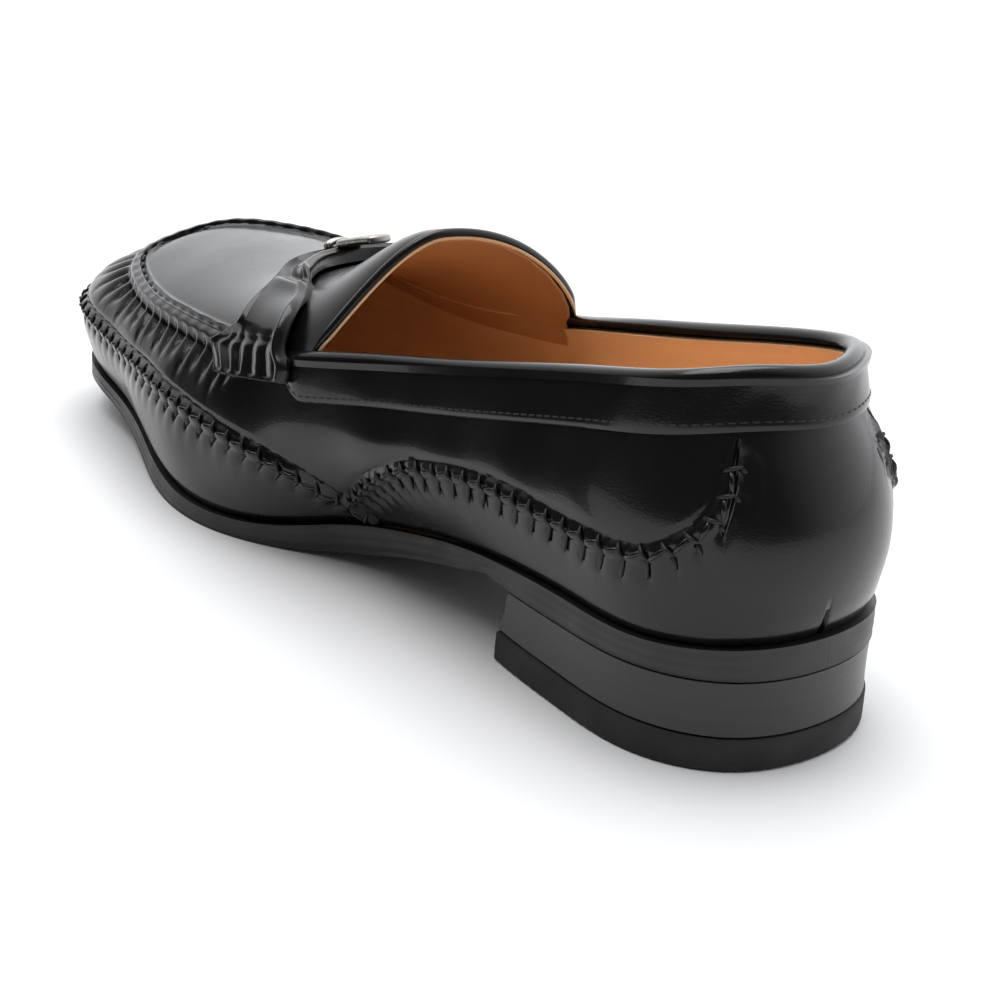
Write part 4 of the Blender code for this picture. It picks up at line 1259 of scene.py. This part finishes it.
def heel_rings(profile, low, high):
    """Rings at shares of the height between two level or sloping faces: (share, outward offset, lean)."""
    rings = []
    for share, out, lean in profile:
        plan = heel_outline(out, lean)
        bottom = low(plan[:, 1]) if callable(low) else np.full(len(plan), low)
        top = high(plan[:, 1]) if callable(high) else np.full(len(plan), high)
        rings.append(np.column_stack([plan, bottom + (top - bottom) * share]))
    return np.array(rings)


def shrunk(ring, shares):
    """Copies of an end ring drawn in towards its middle, which close that end flat."""
    return np.array([ring.mean(0) + (ring - ring.mean(0)) * share for share in shares])


def make_heel():
    """Stack from lift to sole, a little waisted, its breast leaning back as it rises."""
    profile = [(0.0, SOLE_EDGE - 0.0007, BREAST_LEAN), (0.02, SOLE_EDGE - 0.0003, BREAST_LEAN)]
    for share in np.linspace(0.06, 0.94, 12):
        waist = 0.0002 * math.sin(share * math.pi)
        profile.append((share, SOLE_EDGE - 0.0003 - waist, BREAST_LEAN * (1 - share)))
    profile += [(0.97, SOLE_EDGE - 0.0003, 0.0), (1.0, SOLE_EDGE - 0.0008, 0.0)]
    rings = heel_rings(profile, LIFT + FIT, lambda y: underside(y) - 0.0002)
    shares = (0.96, 0.6, 0.25, 0.03)
    rings = np.concatenate([shrunk(rings[0], shares[::-1]), rings, shrunk(rings[-1], shares)])
    put_rings("heel_stack", rings, STACK, ("heel_block",))


def lift_tread(x, y):
    """Depth cut into the lift: two V grooves with a smooth band between them, and knurling behind."""
    aside = np.abs(x) / (0.27 * BALL_WIDTH)
    first, second = ((low + (high - low) * aside) * BREAST for low, high in ((0.30, 0.66), (0.44, 0.78)))
    grooves = np.maximum(bell(y - first, 0.0009), bell(y - second, 0.0009))
    behind = fade(first - y, 0.0015, 0.002)
    knurl = 0.5 + 0.25 * sum(np.cos((x + way * y) * 2 * math.pi / 0.003) for way in (1, -1))
    return 0.0009 * grooves + 0.0004 * knurl * behind


def make_lift():
    """Side as rings. The underside is the same outline drawn in to its spine, with the tread cut in."""
    lean = BREAST_LEAN + 0.001
    offsets = ((0.0, -0.0006), (0.06, 0.00005), (0.15, 0.0002))
    profile = [(share, SOLE_EDGE + out, lean) for share, out in offsets]
    for share in np.linspace(0.25, 0.93, 6):
        profile.append((share, SOLE_EDGE + 0.0002, lean - 0.001 * share))
    profile += [(0.97, SOLE_EDGE + 0.0001, BREAST_LEAN), (1.0, SOLE_EDGE - 0.0004, BREAST_LEAN)]
    rings = heel_rings(profile, 0.0, LIFT)
    turn = np.arange(rings.shape[1]) / rings.shape[1]
    nicks = 0.00025 * np.maximum(np.cos(turn * 2 * math.pi * 96), 0.0)
    for k in range(3):
        middle = rings[k].mean(0)
        inward = middle - rings[k]
        inward[:, 2] = 0
        rings[k] += unit(inward) * nicks[:, None] * (1 - 0.3 * k)
    spine = rings[0].copy()
    spine[:, 0] = 0.0
    spine[:, 1] = np.clip(spine[:, 1], 0.035, 0.040)
    shares = np.linspace(0.97, 0.012, 70)[:, None, None]
    below = spine[None] + (rings[0] - spine)[None] * shares
    below[..., 2] = lift_tread(below[..., 0], below[..., 1]) * np.clip((1 - shares[..., 0]) / 0.06, 0, 1)
    rings = np.concatenate([below[::-1], rings, shrunk(rings[-1], (0.9, 0.4, 0.03))])
    put_rings("rubber_lift", rings, LIFT_LOOK, ("top_lift",))


make_heel()
make_lift()


# %% [markdown]
# ## The sock
# A thin tan sock covers the insole. It is plain calf with a soft hollow under the heel and the
# ball, and a pressed line round its edge.

# %% The sock
def make_sock():
    """Top face of the sock with its pressed line, over a flat underside."""
    station = np.linspace(0.001, 13.999, 200)
    inner, outer = outlines(station, -(WALL + 2 * FIT))
    across = np.linspace(0.0, 1.0, 60)
    flat = between(inner, outer, across)
    edge = np.minimum(across, 1 - across)[None] * np.linalg.norm(outer - inner, axis=1)[:, None]
    top = flat.copy()
    line = 0.0004 * bell(edge - 0.005, 0.0006)
    soft = 0.0006 * bell((flat[..., 1] - 0.035) / 0.02, 1.0) * fade(edge, 0.005, 0.02)
    top[..., 2] += INSOLE_THICK * (1 - 0.5 * np.clip(1 - edge / 0.0012, 0, 1) ** 2) - line - soft
    few = picked(len(across), 7)
    # The sock takes the lighter copy of the tan calf, painted light.
    put_sheet("sock", top, flat[:, few], False, TAN_PAINTED_LIGHT, "sock_leather", ("insole",))


make_sock()

# %% [markdown]
# ## Floor, light and camera
# The shoe stands on level pale paper. One wide lamp hangs above the toe, and the air glows most
# on the outer side of the toe, which lays the long reflections on the leather. A black card,
# out of the picture beside the inner side, gives that side something dark to mirror. The camera
# is where the photograph was taken from, turned and zoomed until the shoe fills the picture.

# %% Floor and card
def flat_mesh(name, points, faces, look):
    """Plain object of the studio from points and faces."""
    mesh = bpy.data.meshes.new(name)
    mesh.from_pydata(points, [], faces)
    mesh.shade_smooth()
    mesh.materials.append(look)
    made = bpy.data.objects.new(name, mesh)
    bpy.context.scene.collection.objects.link(made)
    return made


def make_floor():
    """Level floor of pale studio paper."""
    reach = np.linspace(-3.0, 3.0, 25)
    points = np.stack(np.broadcast_arrays(reach[:, None], reach[None] + 1.0, 0.0 * reach[None]), -1)
    paper, tree, shader = finish("studio_paper", (0.86, 0.86, 0.865), 0.7)
    clouds = tint(tree, noise(tree, 6.0, 3.0), (0.85, 0.85, 0.855), (0.88, 0.88, 0.885))
    feed(tree, shader, base_color=clouds)
    count = len(reach)
    c, r = np.meshgrid(np.arange(count - 1), np.arange(count - 1), indexing="ij")
    here = (c * count + r).ravel()
    faces = np.stack([here, here + count, here + count + 1, here + 1], 1)
    floor = flat_mesh("studio_floor", points.reshape(-1, 3).tolist(), faces.tolist(), paper)


def dark_card(low, high):
    """Upright black card beside the shoe, out of the picture, that the polished side mirrors."""
    (x, y, z), (x_end, y_end, top) = low, high
    points = [(x, y, z), (x_end, y_end, z), (x_end, y_end, top), (x, y, top)]
    look = finish("black_card", (0.01, 0.01, 0.01), 0.9)[0]
    card = flat_mesh("dark_card", points, [(0, 1, 2, 3)], look)
    card.visible_camera = card.visible_diffuse = card.visible_shadow = False


make_floor()
dark_card((-0.17, 0.00, 0.001), (-0.20, 0.42, 0.16))

# %% Lights
def turned(place, aim, roll=0.0):
    """Matrix of a lamp or camera at a place that looks at another, rolled about its line of sight."""
    way = Vector(aim) - Vector(place)
    turn = way.to_track_quat("-Z", "Y").to_matrix().to_4x4()
    return Matrix.Translation(place) @ turn @ Matrix.Rotation(roll, 4, "Z")


def soft_light(name, place, aim, size, power):
    """Wide rectangular lamp, in metres and watts."""
    lamp = bpy.data.lights.new(name, "AREA")
    lamp.shape = "RECTANGLE"
    lamp.size, lamp.size_y = size
    lamp.energy = power
    made = bpy.data.objects.new(name, lamp)
    made.matrix_world = turned(place, aim)
    bpy.context.scene.collection.objects.link(made)


MIDDLE = (0.0, 0.0, 0.04)
soft_light("top_light", (-0.05, 0.20, 1.30), MIDDLE, (1.3, 1.0), 15.5)
BRIGHTEST = (0.856, 0.453, 0.252)
world = bpy.data.worlds.new("studio_air")
world.use_nodes = True
air = world.node_tree
toward = air.nodes.new("ShaderNodeTexCoord")
facing = air.nodes.new("ShaderNodeVectorMath")
facing.operation = "DOT_PRODUCT"
facing.inputs[1].default_value = BRIGHTEST
air.links.new(toward.outputs["Generated"], facing.inputs[0])
glow = span(air, facing.outputs["Value"], -0.35, 0.95, 0.10, 1.75)
air.links.new(glow, air.nodes["Background"].inputs["Strength"])
air.nodes["Background"].inputs["Color"].default_value = (0.97, 0.98, 1.0, 1.0)
bpy.context.scene.world = world
bpy.context.scene.view_settings.view_transform = "Standard"

# %% Camera
EYE = (-0.3350, -0.4268, 0.2340)
AIM = (0.0079, -0.0235, 0.0160)
ROLL = math.radians(3.6)
lens = bpy.data.cameras.new("camera")
lens.sensor_width = 36.0
lens.lens = 77.0
lens.clip_start = 0.01
camera = bpy.data.objects.new("camera", lens)
camera.matrix_world = turned(EYE, AIM, ROLL)
bpy.context.scene.collection.objects.link(camera)
bpy.context.scene.camera = camera
